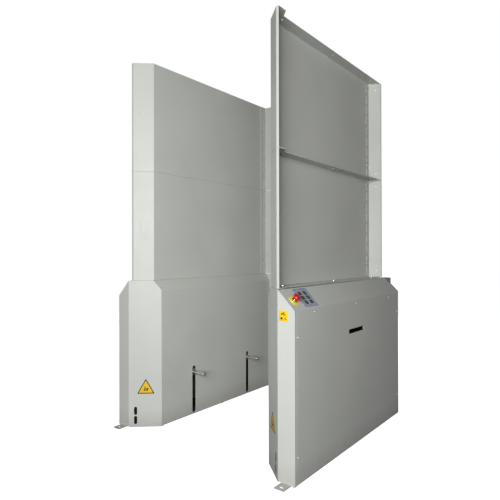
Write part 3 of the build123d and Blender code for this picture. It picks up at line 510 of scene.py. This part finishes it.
slotFinish = {
    "grey_paint": "cabinetPaint", "dark_paint": "rearPaint", "black_paint": "framePaint",
    "motor_casting": "castIron",
    "ground_steel": "groundSteel", "machined_steel": "machinedSteel", "aluminium": "anodised",
    "bronze": "bearingBronze", "zinc_steel": "zincPlate", "galvanised_plate": "cabinetPaint",
    "sign_yellow": "signYellow", "sensor_black": "sensorWindow", "black_polymer": "blackNylon",
    "cast_iron": "castIron", "chrome": "polishedChrome", "stop_red": "stopRed", "keypad_film": "keypadFilm",
    "box_grey": "boxPaint",
}
nodeSlot = {part["node"]: part["material_slot"] for part in frame["record"]["subparts"]}


def withFinish(piece, name):
    piece.data.materials.clear()
    piece.data.materials.append(finishes[name])
    return piece


for name, node in nodes.items():
    withFinish(node, slotFinish[nodeSlot[name]])


# Sheet-metal pieces: the CAD shape with its cut edges broken

sheetEdges = {
    "inner_shell": 0.0008, "slope_panel": 0.0006, "outer_cover": 0.0007, "rear_end_plate": 0.0008,
    "lower_tower": 0.0008, "upper_tower": 0.0008, "rear_stops": 0.0008,
}
towerFold = 0.0028
mergeGap = 1e-5


def mergedCopy(name, node):
    piece = bpy.data.objects.new(name, nodes[node].data.copy())
    bpy.context.scene.collection.objects.link(piece)
    pickFaces(piece, lambda centre, normal: True)
    bpy.ops.mesh.remove_doubles(threshold=mergeGap)
    bpy.ops.mesh.dissolve_limited(angle_limit=radians(0.4))
    bpy.ops.object.mode_set(mode="OBJECT")
    return piece


def flatShading(piece):
    # large flat faces stay flat and folds stay smooth
    take(piece)
    bpy.ops.object.shade_smooth_by_angle(angle=radians(40))
    weighted = piece.modifiers.new("normals", "WEIGHTED_NORMAL")
    weighted.weight = 100
    weighted.keep_sharp = True
    bpy.ops.object.modifier_apply(modifier=weighted.name)


def foldEnds(piece, radius):
    # the tower's wall turns into its flanges with a fold, which leaves a groove at each seam
    points = piece.data.vertices
    low = min(point.co.z for point in points)
    high = max(point.co.z for point in points)
    side = 1 if points[0].co.x > 0 else -1
    facing = {}
    for face in piece.data.polygons:
        for key in face.edge_keys:
            facing.setdefault(key, []).append(face.normal.copy())
    chosen = set()
    for key, normals in facing.items():
        heights = [points[n].co.z for n in key]
        atEnd = any(max(abs(z - end) for z in heights) < mergeGap for end in (low, high))
        upright = [normal for normal in normals if abs(normal.z) < 0.1]
        if atEnd and len(upright) == 1 and len(normals) == 2:
            out = upright[0]
            if out.x * side < -0.5 or (out.y < -0.7 and out.x * side < 0.1):
                chosen.add(frozenset(key))
    pickEdges(piece, lambda edge: frozenset(edge.vertices) in chosen)
    bpy.ops.mesh.bevel(offset=radius, segments=4, affect="EDGES")
    bpy.ops.object.mode_set(mode="OBJECT")


def sheetPiece(name, node, edge, fold=0.0):
    piece = mergedCopy(name, node)
    if fold:
        foldEnds(piece, fold)
    roundEdges(piece, edge, 2, 50)
    flatShading(piece)
    withFinish(piece, slotFinish[nodeSlot[node]])
    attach(piece, "frame")
    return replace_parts(piece, node)


for side in sides:
    for part, edge in sheetEdges.items():
        words = part.split("_")
        name = side + "".join(word.capitalize() for word in words)
        sheetPiece(name, f"{side}_{part}", edge, towerFold if part.endswith("tower") else 0.0)
sheetPiece("anchorLugs", "anchor_lugs", 0.0008)
print("sheets broken at the edges")


# Hexagon bolts and nuts: flange bolts stand upright, stop bolts lie across the channel

hexBolt = {"flat": 0.0065, "head": 0.0053, "shank": 0.004, "root": 0.0034, "pitch": 0.00125, "washer": 0.0063}
lugBolt = {"flat": 0.008, "head": 0.0064, "shank": 0.005, "root": 0.0043, "pitch": 0.0015, "washer": 0.0078}
nutHeight = 0.0065
# what every hexagon bolt and nut shares
hexCut = {"around": 24, "lead": 0.0004, "runout": 0.0002, "washerThick": 0.0004, "foot": 0.0005,
          "chamfer": 0.0008, "crown": 0.97, "dish": 0.6, "dishFoot": 0.55, "dishDeep": 0.0002,
          "play": 0.00002, "mouth": 0.0006}


def makeHexBolt(size, shankLength):
    # head above z = 0 with a washer face and chamfered corners, thread below
    flat, head, pitch = size["flat"], size["head"], size["pitch"]
    profile = [(size["root"] * 0.8, -shankLength)]
    height = -shankLength + hexCut["lead"]
    while height < -pitch * 2:
        profile += [(size["root"], height), (size["shank"], height + pitch / 2)]
        height += pitch
    corner = flat / cos(pi / 6)
    shoulder = head - hexCut["chamfer"]
    dish = head - hexCut["dishDeep"]
    profile += [(size["shank"], -hexCut["runout"]), (size["washer"], 0),
                (size["washer"], hexCut["washerThick"]), (corner, hexCut["foot"]), (corner, shoulder),
                (flat * hexCut["crown"], head), (flat * hexCut["dish"], head),
                (flat * hexCut["dishFoot"], dish), (tipRadius, dish)]
    bolt = turned(profile, hexCut["around"])
    return hexagonal(bolt, hexCut["foot"], shoulder, flat)


def makeHexNut(size, tall):
    # stands on z = 0 and its thread is open
    flat = size["flat"]
    corner = flat / cos(pi / 6)
    bore = size["shank"] + hexCut["play"]
    low, high = hexCut["chamfer"], tall - hexCut["chamfer"]
    crown, mouth = flat * hexCut["crown"], hexCut["mouth"]
    profile = [(bore, 0.0), (crown, 0), (corner, low), (corner, high), (crown, tall), (bore + mouth, tall),
               (bore, tall - mouth), (bore, 0.0)]
    nut = turned(profile, hexCut["around"], ring=True)
    return hexagonal(nut, low, high, flat)


def fastenerPlaces(node):
    # where each bolt's head sits: the point under the head, and the way out through the head
    for low, high in solidBoxes(node):
        size, centre = high - low, (low + high) / 2
        if size.z > size.x:
            yield Vector((centre.x, centre.y, high.z)), Vector((0, 0, 1)), size.z
        else:
            side = 1 if centre.x > 0 else -1
            end = low.x if side > 0 else high.x
            yield Vector((end, centre.y, centre.z)), Vector((-side, 0, 0)), size.x


def boltOn(node, name, size):
    bolts = []
    models = {}
    for end, out, length in fastenerPlaces(node):
        key = round(length, 4)
        if key not in models:
            models[key] = makeHexBolt(size, length - size["head"])
        seat = end - out * size["head"]
        bolts.append(copyTo(models[key], axes(seat, (0, 1, 0), out)))
    for model in models.values():
        remove(model)
    return finishPiece(joined(name, bolts), finishes["zincPlate"], "frame", "zinc_steel", node)


def nutsOn(node, name, size):
    # upright nuts hang under their flange, the others stand outside the wall
    nut = makeHexNut(size, nutHeight)
    nuts = []
    for seat, out, length in fastenerPlaces(node):
        nuts.append(copyTo(nut, axes(seat, (0, 1, 0), -out)))
    remove(nut)
    return finishPiece(joined(name, nuts), finishes["dullZinc"], "frame", "zinc_steel", node)


boltOn("tower_bolts", "towerBolts", hexBolt)
nutsOn("tower_nuts", "towerNuts", hexBolt)
boltOn("lug_bolts", "lugBolts", lugBolt)


# Button-head screws of the covers

coverScrew = {"shank": 0.004, "head": 0.0068, "tall": 0.0035, "socket": 0.0022, "deep": 0.0018,
              "washer": 0.008, "washerThick": 0.0009, "point": 0.0030, "pointLong": 0.0008, "lip": 0.0003,
              "dome": 0.0023, "mouth": 0.0006, "play": 0.0001, "tip": 0.0003}


def makeCoverScrew(shankLength):
    head, tall, socket = coverScrew["head"], coverScrew["tall"], coverScrew["socket"]
    corner = socket / cos(pi / 6)
    under, shank, lip = coverScrew["washerThick"], coverScrew["shank"], coverScrew["lip"]
    floor, play, dome = tall - coverScrew["deep"], coverScrew["play"], coverScrew["dome"]
    profile = [(coverScrew["point"], -shankLength), (shank, -shankLength + coverScrew["pointLong"]),
               (shank, under), (head * 0.97, under), (head, under + lip)]
    profile += arc((head - dome, under + lip), dome, 10, 80, 6)
    profile += [(corner + coverScrew["mouth"], tall), (corner, tall - play), (corner, floor),
                (coverScrew["tip"], floor - coverScrew["tip"])]
    screw = turned(profile, 36)
    hexagonal(screw, floor - play, tall - play / 2, socket, corner * 1.05)
    # the black nylon washer under the head is partly a real washer and partly a painted shadow: its dark ring
    # stands for the shade round the head
    wide, bore = coverScrew["washer"], shank + play
    washer = turned([(bore, 0), (wide - 0.0002, 0), (wide, 0.0002), (wide, under - lip),
                     (wide - 0.0004, under), (bore, under), (bore, 0)], 36, ring=True)
    return joined("coverScrew", [withFinish(screw, "zincWithPaintedGlint"), withFinish(washer, "blackNylon")])


def screwCovers():
    screws = []
    model = None
    for low, high in solidBoxes("cover_screws"):
        side = 1 if low.x > 0 else -1
        centre = (low + high) / 2
        if model is None:
            model = makeCoverScrew(high.x - low.x - coverScrew["tall"])
        seat = (high.x - coverScrew["tall"]) if side > 0 else (low.x + coverScrew["tall"])
        screws.append(copyTo(model, axes((seat, centre.y, centre.z), (0, 1, 0), (side, 0, 0))))
    remove(model)
    finishPiece(joined("coverScrews", screws), None, "frame", "zinc_steel", "cover_screws")


screwCovers()
print("fasteners made")


# Lifting pins with their wipers

pin = {"radius": 0.011, "tip": 0.004, "piston": 0.018, "pistonLength": 0.020, "groove": 0.0015,
       "grooves": 3, "grooveFirst": 0.0040, "groovePitch": 0.0050, "break": 0.0006}
wiper = {"bore": 0.01122, "rim": 0.0176, "face": 0.0009, "thick": 0.0012, "lip": 0.0128, "lipEnd": 0.0119}


def makePin(length):
    # z runs from the tip to the back of the piston
    radius, tip, piston = pin["radius"], pin["tip"], pin["piston"]
    back = length - pin["pistonLength"]
    profile = [(0.0006, 0.0), (radius - tip, 0.0)]
    profile += arc((radius - tip, tip), tip, -90, 0, 7)[1:]
    cut = pin["break"]
    profile += [(radius, along) for along in (0.030, 0.060, 0.100, back - 0.001)]
    profile += [(radius - cut, back), (piston - cut, back), (piston, back + cut)]
    for n in range(pin["grooves"]):
        start = back + pin["grooveFirst"] + n * pin["groovePitch"]
        profile += [(piston, start), (piston - pin["groove"], start + 0.0002),
                    (piston - pin["groove"], start + 0.0022), (piston, start + 0.0024)]
    profile += [(piston, length - cut), (piston - cut, length), (0.004, length), (0.003, length - 0.002),
                (tipRadius, length - 0.003)]
    return turned(profile, 48)


def makeWiper():
    # rubber washer over the bush, with a lip that cleans the pin
    bore, rim = wiper["bore"], wiper["rim"]
    profile = [(bore, 0.0), (rim, 0.0), (rim, -wiper["face"]), (rim - 0.0004, -wiper["thick"]),
               (wiper["lip"], -wiper["thick"] - 0.0002), (wiper["lipEnd"], -0.0026), (bore, -0.0028),
               (bore, 0.0)]
    return turned(profile, 48, ring=True)


def fitPins():
    for name, side in sides.items():
        pins, wipers = [], []
        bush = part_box(f"{name}_pin_bushes")
        nose = bush[0].x if side > 0 else bush[1].x
        for box in solidBoxes(f"{name}_lift_pins"):
            low, high = box
            centre = middle(box)
            tip = low.x if side > 0 else high.x
            for made, shape, x in ((pins, makePin(high.x - low.x), tip), (wipers, makeWiper(), nose)):
                made.append(place(shape, axes((x, centre.y, centre.z), (0, 1, 0), (side, 0, 0))))
        finishPiece(joined(name + "LiftPins", pins), finishes["groundSteel"], f"{name}_pins",
                    "ground_steel", f"{name}_lift_pins")
        finishPiece(joined(name + "PinWipers", wipers), finishes["rubberSeal"], f"{name}_lift",
                    "black_polymer")


fitPins()
print("pins fitted")


# Emergency stop on the slope

stop = {"plateThick": 0.0015, "plateHole": 0.0115, "bore": 0.00806, "barrel": 0.0112, "barrelDeep": 0.030,
        "threads": 14, "threadPitch": 0.0020, "collar": 0.015, "collarTop": 0.0095, "collarCut": 0.0009,
        "headLow": 0.0142, "neck": 0.0128, "head": 0.020, "headTop": 0.036, "skirt": 0.0035,
        "crown": 0.0060, "marks": 3, "markAt": 0.0072, "markDeep": 0.0004}


def slopePlace(node, lift):
    # the middle of a flat node on the slope, lowered to its back
    return axes(middle(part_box(node)) - slopeOut * lift, (0, 1, 0), slopeOut)


def makeStop():
    there = slopePlace("estop_plate", stop["plateThick"] / 2)
    low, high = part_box("estop_plate")
    edge, thick, hole = (high.y - low.y) / 2, stop["plateThick"], stop["plateHole"]
    sunk = thick * 0.75
    disc = turned([(hole, 0), (edge, 0), (edge, thick * 0.6), (edge - 0.0005, thick), (edge - 0.0014, thick),
                   (edge - 0.0018, sunk), (0.0172, sunk), (0.0168, thick), (hole, thick), (hole, 0)],
                  64, ring=True)
    finishPiece(place(joined("stopPlate", [disc]), there), finishes["stopYellow"], "frame", "sign_yellow",
                "estop_plate")

    barrel, collar, top, bore = stop["barrel"], stop["collar"], stop["collarTop"], stop["bore"]
    foot, waist = -stop["barrelDeep"], collar - stop["collarCut"]
    profile = [(bore, foot)]
    for n in range(stop["threads"]):
        start = foot + 0.0006 + n * stop["threadPitch"]
        profile += [(barrel - 0.0007, start), (barrel, start + 0.0006), (barrel, start + 0.0010)]
    profile += [(barrel, thick), (collar, thick), (collar, thick + 0.0014), (waist, thick + 0.0022),
                (waist, thick + 0.0052), (collar, thick + 0.0060), (collar, top - 0.0010),
                (collar - 0.0010, top), (0.0105, top), (0.0098, top - 0.0006), (bore, top - 0.0006),
                (bore, foot)]
    ring = turned(profile, 60, ring=True)
    # grip notches round the collar's waist
    def onNotch(centre, normal):
        turn = int(degrees(atan2(centre.y, centre.x)) // 6)
        inBand = thick + 0.0024 < centre.z < thick + 0.0050
        return inBand and centre.xy.length > collar - 0.0015 and turn % 2 == 0

    pickFaces(ring, onNotch)
    bpy.ops.mesh.inset(thickness=0.00015, depth=-0.0004, use_individual=True)
    bpy.ops.object.mode_set(mode="OBJECT")
    finishPiece(place(joined("stopCollar", [ring]), there), finishes["polishedChrome"], "frame", "chrome",
                "estop_collar")

    low, neck, head, top = stop["headLow"], stop["neck"], stop["head"], stop["headTop"]
    skirt, crown = stop["skirt"], stop["crown"]
    profile = [(0.006, low), (neck - 0.0006, low), (neck, low + 0.0006), (neck, low + 0.0052),
               (neck + 0.0015, low + 0.0064)]
    profile += arc((head - skirt, low + 0.0100), skirt, -80, 0, 6)
    profile += arc((head - crown, top - 0.0062), crown, 0, 78, 8)
    profile += [(0.0125, top - 0.00015), (0.0118, top - 0.0005), (0.0108, top - 0.0005),
                (0.0100, top - 0.0001), (0.005, top), (0.0006, top)]
    knob = turned(profile, 64)
    marks = []
    for n in range(stop["marks"]):
        turn = Matrix.Rotation(2 * pi * n / stop["marks"], 4, "Z")
        bar = withFinish(plate(0.0060, 0.0014, 0.0006, 0.0005, 0.0001, 4), "printLight")
        marks.append(place(bar, turn @ Matrix.Translation((0, stop["markAt"], top - stop["markDeep"]))))
    withFinish(knob, "stopRed")
    finishPiece(place(joined("stopButton", [knob] + marks), there), None, "estop_head", "stop_red",
                "estop_button")


makeStop()


# Membrane keypad: two columns of three keys

keypad = {"across": 0.136, "down": 0.124, "thick": 0.0012, "corner": 0.004, "columns": (-0.022, 0.028),
          "rows": (0.033, 0.063, 0.093), "key": (0.026, 0.023), "rise": 0.0007, "line": 0.003,
          "print": 0.0001, "step": 0.0002, "bars": 5, "barStart": -0.040, "barPitch": 0.020, "barUp": 0.0525,
          "lamps": (-0.009, 0.003), "lampUp": -0.049}


def arrowMark(size, turn):
    letGo()
    bpy.ops.mesh.primitive_circle_add(vertices=3, radius=size, fill_type="NGON")
    mark = bpy.context.object
    pickFaces(mark, lambda centre, normal: True)
    bpy.ops.mesh.extrude_region_move(TRANSFORM_OT_translate={"value": (0, 0, keypad["print"])})
    bpy.ops.object.mode_set(mode="OBJECT")
    roundEdges(mark, 0.0002, 2, 50)
    return place(mark, Matrix.Rotation(turn, 4, "Z"))


def keyAt(column, row, sign):
    # sign is a square where it is None, else an arrow with a bar, turned by that angle
    across, tall = keypad["key"]
    rise, inked = keypad["rise"], keypad["print"]
    key = plate(across, tall, rise, 0.002, 0.0003)
    stepTop(key, rise, 0.0018, 0.0004, keypad["step"])
    parts = [withFinish(key, "keyFilm")]
    if sign is None:
        parts.append(withFinish(plate(0.0055, 0.0055, inked, 0.0010, 0), "printLight"))
    else:
        parts.append(withFinish(arrowMark(0.0040, sign), "printLight"))
        parts.append(withFinish(plate(0.007, 0.0010, inked, 0.0003, 0), "printLight"))
        place(parts[2], Matrix.Translation(Matrix.Rotation(sign, 3, "Z") @ Vector((0, -0.0052, 0))))
    for part in parts[1:]:
        shift(part, 0, 0, rise + keypad["step"])
    level = Matrix.Translation((column, keypad["down"] / 2 - row, keypad["thick"]))
    return [place(part, level) for part in parts]


def makeKeypad():
    across, down, thick = keypad["across"], keypad["down"], keypad["thick"]
    base = plate(across, down, thick, keypad["corner"], 0.0003)
    film = thick - keypad["step"]
    stepTop(base, thick, 0.0022, 0.0003, -keypad["step"])
    parts = [withFinish(base, "keypadFilm")]
    signs = (0.0, None, pi)
    for column in keypad["columns"]:
        for row, sign in zip(keypad["rows"], signs):
            parts += keyAt(column, row, sign)
    line = withFinish(plate(0.0012, 0.096, 0.00012, 0.0004), "printLight")
    parts.append(shift(line, keypad["line"], -0.002, film))
    for n in range(keypad["bars"]):
        bar = withFinish(plate(0.011, 0.0022, 0.00012, 0.0006), "printLight" if n % 2 else "keyFilm")
        parts.append(shift(bar, keypad["barStart"] + n * keypad["barPitch"], keypad["barUp"], film))
    for x in keypad["lamps"]:
        lamp = turned([(0.0022, 0), (0.0022, 0.0004), (0.0014, 0.0008), (0.0003, 0.0009)], 24)
        parts.append(shift(withFinish(lamp, "keyFilm"), x, keypad["lampUp"], film))
    finishPiece(place(joined("keypadPanel", parts), slopePlace("keypad", thick / 2)), None, "frame",
                "keypad_film", "keypad")


makeKeypad()
print("control panel made")


# Stickers: a yellow square on the front wall and a triangle on each bevel, with plain marks of no meaning

bevelRun = {"across": 0.161, "along": 0.143}
label = {"thick": 0.0006, "corner": 0.0025, "print": 0.0001, "dot": 0.0058, "dotAt": (-0.011, -0.013)}
# finish, width, height, x, y and turn of each mark
labelMarks = [("signBlack", 0.022, 0.0050, -0.004, 0.013, 0.5),
              ("signBlack", 0.016, 0.0045, 0.006, 0.007, -0.45),
              ("signBlack", 0.011, 0.0040, -0.010, 0.008, -0.2),
              ("signOrange", 0.005, 0.014, 0.010, -0.011, 0.0),
              ("signOrange", 0.012, 0.0040, 0.014, -0.016, 0.0)]
sign = {"side": 0.114, "corner": 0.004, "border": 0.020, "thick": 0.0006, "print": 0.0001, "back": 0.0004,
        "dot": 0.0065, "dotAt": (0.011, -0.002)}
# width, height, x, y and turn of each mark
signMarks = [(0.026, 0.005, -0.001, -0.011, 0.0), (0.020, 0.005, -0.004, -0.003, 0.35),
             (0.005, 0.018, -0.006, 0.006, 0.0)]


def bevelWays(hand):
    # across the front bevel and out of it, on the right (1) or the left (-1)
    across = Vector((bevelRun["across"], -hand * bevelRun["along"], 0)).normalized()
    out = Vector((-hand * bevelRun["along"], -bevelRun["across"], 0)).normalized()
    return across, out


def dotMark(radius):
    profile = [(radius, 0), (radius, 0.00008), (radius - 0.0003, 0.0001), (tipRadius, 0.0001)]
    return withFinish(turned(profile, 32), "signBlack")


def makeFrontLabel():
    low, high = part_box("front_label")
    wide, tall = high.x - low.x, high.z - low.z
    there = axes(((low.x + high.x) / 2, high.y, (low.z + high.z) / 2), (1, 0, 0), (0, -1, 0))
    parts = [withFinish(plate(wide, tall, label["thick"], label["corner"], 0.0001), "signYellow")]
    for finish, across, up, x, y, turn in labelMarks:
        mark = plate(across, up, label["print"], min(across, up) * 0.35, 0)
        parts.append(shift(withFinish(mark, finish), x, y, label["thick"], turn))
    parts.append(shift(dotMark(label["dot"]), *label["dotAt"], label["thick"]))
    finishPiece(place(joined("frontLabel", parts), there), None, "frame", "sign_yellow", "front_label")


def triangle(side, thick, corner):
    letGo()
    bpy.ops.mesh.primitive_circle_add(vertices=3, radius=side / sqrt(3), fill_type="NGON")
    piece = bpy.context.object
    pickFaces(piece, lambda centre, normal: True)
    bpy.ops.mesh.extrude_region_move(TRANSFORM_OT_translate={"value": (0, 0, thick)})
    bpy.ops.mesh.select_all(action="SELECT")
    bpy.ops.mesh.normals_make_consistent(inside=False)
    bpy.ops.object.mode_set(mode="OBJECT")
    roundCorners(piece, thick, corner * sqrt(3), 6)
    return piece


def makeSigns():
    signs = []
    side, corner, thick, inked = sign["side"], sign["corner"], sign["thick"], sign["print"]
    drop = (side / sqrt(3) / 2 - corner) / 2
    for box in solidBoxes("hazard_signs"):
        centre = middle(box)
        across, out = bevelWays(1 if centre.x > 0 else -1)
        there = axes(centre - out * sign["back"], across, out) @ Matrix.Translation((0, -drop, 0))
        parts = [withFinish(triangle(side, thick, corner), "signBlack")]
        field = triangle(side - sign["border"], inked, corner * 0.5)
        parts.append(shift(withFinish(field, "signYellow"), 0, 0, thick))
        for wide, tall, x, y, turn in signMarks:
            mark = withFinish(plate(wide, tall, inked, 0.0018), "signBlack")
            parts.append(shift(mark, x, y, thick + inked, turn))
        parts.append(shift(dotMark(sign["dot"]), *sign["dotAt"], thick + inked))
        signs.append(place(joined("sign", parts), there))
    finishPiece(joined("bevelSigns", signs), None, "frame", "sign_yellow", "hazard_signs")


makeFrontLabel()
makeSigns()


# Photocells behind their windows

photocell = {"wide": 0.034, "tall": 0.058, "deep": 0.044, "window": (0.020, 0.053), "proud": 0.002,
             "lens": 0.0062, "lensUp": 0.0135, "lensSunk": 0.0008,
             "bosses": ((-0.013, 0.024), (0.013, -0.024))}


def makePhotocell():
    # z = 0 is the back of the bevel's sheet
    deep, top = photocell["deep"], photocell["proud"]
    body = slab((photocell["wide"], photocell["tall"], deep), 0.002, 3, (0, 0, -deep / 2))
    wide, tall = photocell["window"]
    window = plate(wide, tall, top, wide * 0.495, 0.0003, 10)
    stepTop(window, top, 0.0016, 0.0003, -0.0007)
    parts = [withFinish(body, "blackNylon"), withFinish(window, "sensorWindow")]
    r = photocell["lens"]
    for y in (-photocell["lensUp"], photocell["lensUp"]):
        profile = [(r, 0), (r, 0.0006), (r - 0.0008, 0.0009), (r - 0.0012, 0.0004)]
        profile += [(r * 0.7 * cos(radians(a)), 0.0003 + 0.0007 * sin(radians(a))) for a in (0, 30, 60, 85)]
        eye = withFinish(turned(profile, 32), "sensorWindow")
        parts.append(shift(eye, 0, y, top - photocell["lensSunk"]))
    for x, y in photocell["bosses"]:
        boss = turned([(0.0028, 0), (0.0028, 0.0008), (0.0022, 0.0012), (0.0008, 0.0008)], 20)
        behind = Matrix.Translation((x, y, -deep)) @ Matrix.Rotation(pi, 4, "X")
        parts.append(place(withFinish(boss, "zincPlate"), behind))
    return joined("photocell", parts)


def fitPhotocells():
    cells = []
    model = makePhotocell()
    for box in solidBoxes("photocells"):
        centre = middle(box)
        across, out = bevelWays(1 if centre.x > 0 else -1)
        cells.append(copyTo(model, axes(centre + out * photocell["deep"] / 2, across, out)))
    remove(model)
    finishPiece(joined("photocellPairs", cells), None, "frame", "sensor_black", "photocells")


fitPhotocells()


# Cable glands through the rear plates

gland = {"bore": 0.0045, "thread": 0.010, "inside": 0.014, "flat": 0.0121, "flange": 0.007, "cap": 0.012,
         "capLong": 0.014, "sheet": 0.003, "locknut": 0.005, "threads": 8, "threadPitch": 0.0016,
         "chamfer": 0.0008, "capBreak": 0.0006, "dome": 0.0045, "domeDeep": 0.006, "rib": 7.5}


def makeGland():
    # z = 0 is the rear face of the plate, z runs to the rear
    bore, thread, flat, cap = gland["bore"], gland["thread"], gland["flat"], gland["cap"]
    flange, foot, chamfer = gland["flange"], -gland["inside"], gland["chamfer"]
    corner, capCut, dome = flat / cos(pi / 6), gland["capBreak"], gland["dome"]
    end = flange + gland["capLong"]
    shoulder = end - gland["domeDeep"]
    profile = [(bore, foot)]
    for n in range(gland["threads"]):
        start = foot + 0.0004 + n * gland["threadPitch"]
        profile += [(thread - 0.0007, start), (thread, start + 0.0006)]
    profile += [(thread, 0), (flat * 0.96, 0), (corner, chamfer), (corner, flange - chamfer),
                (flat * 0.96, flange), (cap - capCut, flange), (cap, flange + capCut), (cap, shoulder)]
    profile += arc((cap - dome, shoulder), dome, 10, 80, 6)
    profile += [(bore + 0.0022, end - 0.0010), (bore + 0.0008, end), (bore, end - 0.0004), (bore, foot)]
    body = turned(profile, 48, ring=True)
    hexagonal(body, chamfer, flange - chamfer, flat)
    ribStart, ribEnd = flange + 0.0004, shoulder - 0.0004

    def onRib(centre, normal):
        turn = int(degrees(atan2(centre.y, centre.x)) // gland["rib"])
        return ribStart < centre.z < ribEnd and centre.xy.length > cap * 0.97 and turn % 3 == 0

    pickFaces(body, onRib)
    bpy.ops.mesh.inset(thickness=0.0002, depth=-0.0005, use_individual=True)
    bpy.ops.object.mode_set(mode="OBJECT")
    size = {"flat": flat, "shank": thread}
    nut = shift(makeHexNut(size, gland["locknut"]), 0, 0, -gland["sheet"] - gland["locknut"])
    return joined("gland", [body, nut])


def fitGlands():
    glands = []
    model = makeGland()
    for low, high in solidBoxes("cable_glands"):
        centre = middle((low, high))
        seat = (centre.x, high.y - gland["flange"] - gland["capLong"], centre.z)
        glands.append(copyTo(model, axes(seat, (1, 0, 0), (0, 1, 0))))
    remove(model)
    finishPiece(joined("cableGlands", glands), finishes["blackNylon"], "frame", "black_polymer",
                "cable_glands")


fitGlands()
print("stickers, photocells and glands made")


# Camera, floor and light

view = {"at": (1.9407, -2.6078, 1.1531), "lens": 33.676, "sensor": 36.0, "pitch": 90.239, "roll": 0.109,
        "turn": 38.228, "far": 200.0}


def standCamera():
    camera = bpy.data.objects.new("camera", bpy.data.cameras.new("camera"))
    bpy.context.scene.collection.objects.link(camera)
    camera.data.sensor_width = view["sensor"]
    camera.data.lens = view["lens"]
    camera.data.clip_end = view["far"]
    camera.location = view["at"]
    camera.rotation_euler = (radians(view["pitch"]), radians(view["roll"]), radians(view["turn"]))
    bpy.context.scene.camera = camera


lighting = {
    "sky": 0.07, "backdrop": 1.0, "floor": (0.90, 0.90, 0.90), "floorGlow": 0.95, "floorSize": 120.0,
    "floorRough": 0.9, "aim": (0.0, 0.0, 1.1),
    "boxes": {
        "front": {"at": (1.9, -4.0, 1.6), "size": 1.6, "power": 152.0},
        "side": {"at": (2.8, -3.2, 1.6), "size": 1.6, "power": 42.0},
        "rear": {"at": (-2.8, 4.4, 2.0), "size": 2.4, "power": 110.0},
    },
}


def layFloor():
    letGo()
    bpy.ops.mesh.primitive_plane_add(size=lighting["floorSize"])
    floor = bpy.context.object
    floor.name = "floor"
    finish, tree, shader = newFinish("paleFloor")
    tone = noise(tree, objectPoints(tree), 0.8, 2.0)
    low = lighter(lighting["floor"], 0.99)
    tree.links.new(blended(tree, tone, lighting["floor"], low), shader.inputs["Base Color"])
    shader.inputs["Roughness"].default_value = lighting["floorRough"]
    shader.inputs["Emission Color"].default_value = (1, 1, 1, 1)
    shader.inputs["Emission Strength"].default_value = lighting["floorGlow"]
    floor.data.materials.append(finish)
    floor.visible_diffuse = False
    floor.visible_glossy = False


def hangLights():
    for name, box in lighting["boxes"].items():
        softbox = bpy.data.objects.new(name + "Softbox", bpy.data.lights.new(name + "Softbox", "AREA"))
        bpy.context.scene.collection.objects.link(softbox)
        softbox.data.energy = box["power"]
        softbox.data.size = box["size"]
        softbox.location = box["at"]
        aim = Vector(box["at"]) - Vector(lighting["aim"])
        softbox.rotation_euler = aim.to_track_quat("Z", "Y").to_euler()
    world = bpy.data.worlds.new("studio")
    world.use_nodes = True
    bpy.context.scene.world = world
    tree = world.node_tree
    sky = tree.nodes["Background"]
    sky.inputs["Color"].default_value = (1, 1, 1, 1)
    sky.inputs["Strength"].default_value = lighting["sky"]
    seen = add(tree, "ShaderNodeBackground", Strength=lighting["backdrop"])
    seen.inputs["Color"].default_value = (1, 1, 1, 1)
    ray = add(tree, "ShaderNodeLightPath")
    mix = add(tree, "ShaderNodeMixShader")
    tree.links.new(ray.outputs["Is Camera Ray"], mix.inputs[0])
    tree.links.new(sky.outputs[0], mix.inputs[1])
    tree.links.new(seen.outputs[0], mix.inputs[2])
    tree.links.new(mix.outputs[0], tree.nodes["World Output"].inputs["Surface"])


standCamera()
layFloor()
hangLights()
bpy.context.scene.view_settings.view_transform = "Standard"
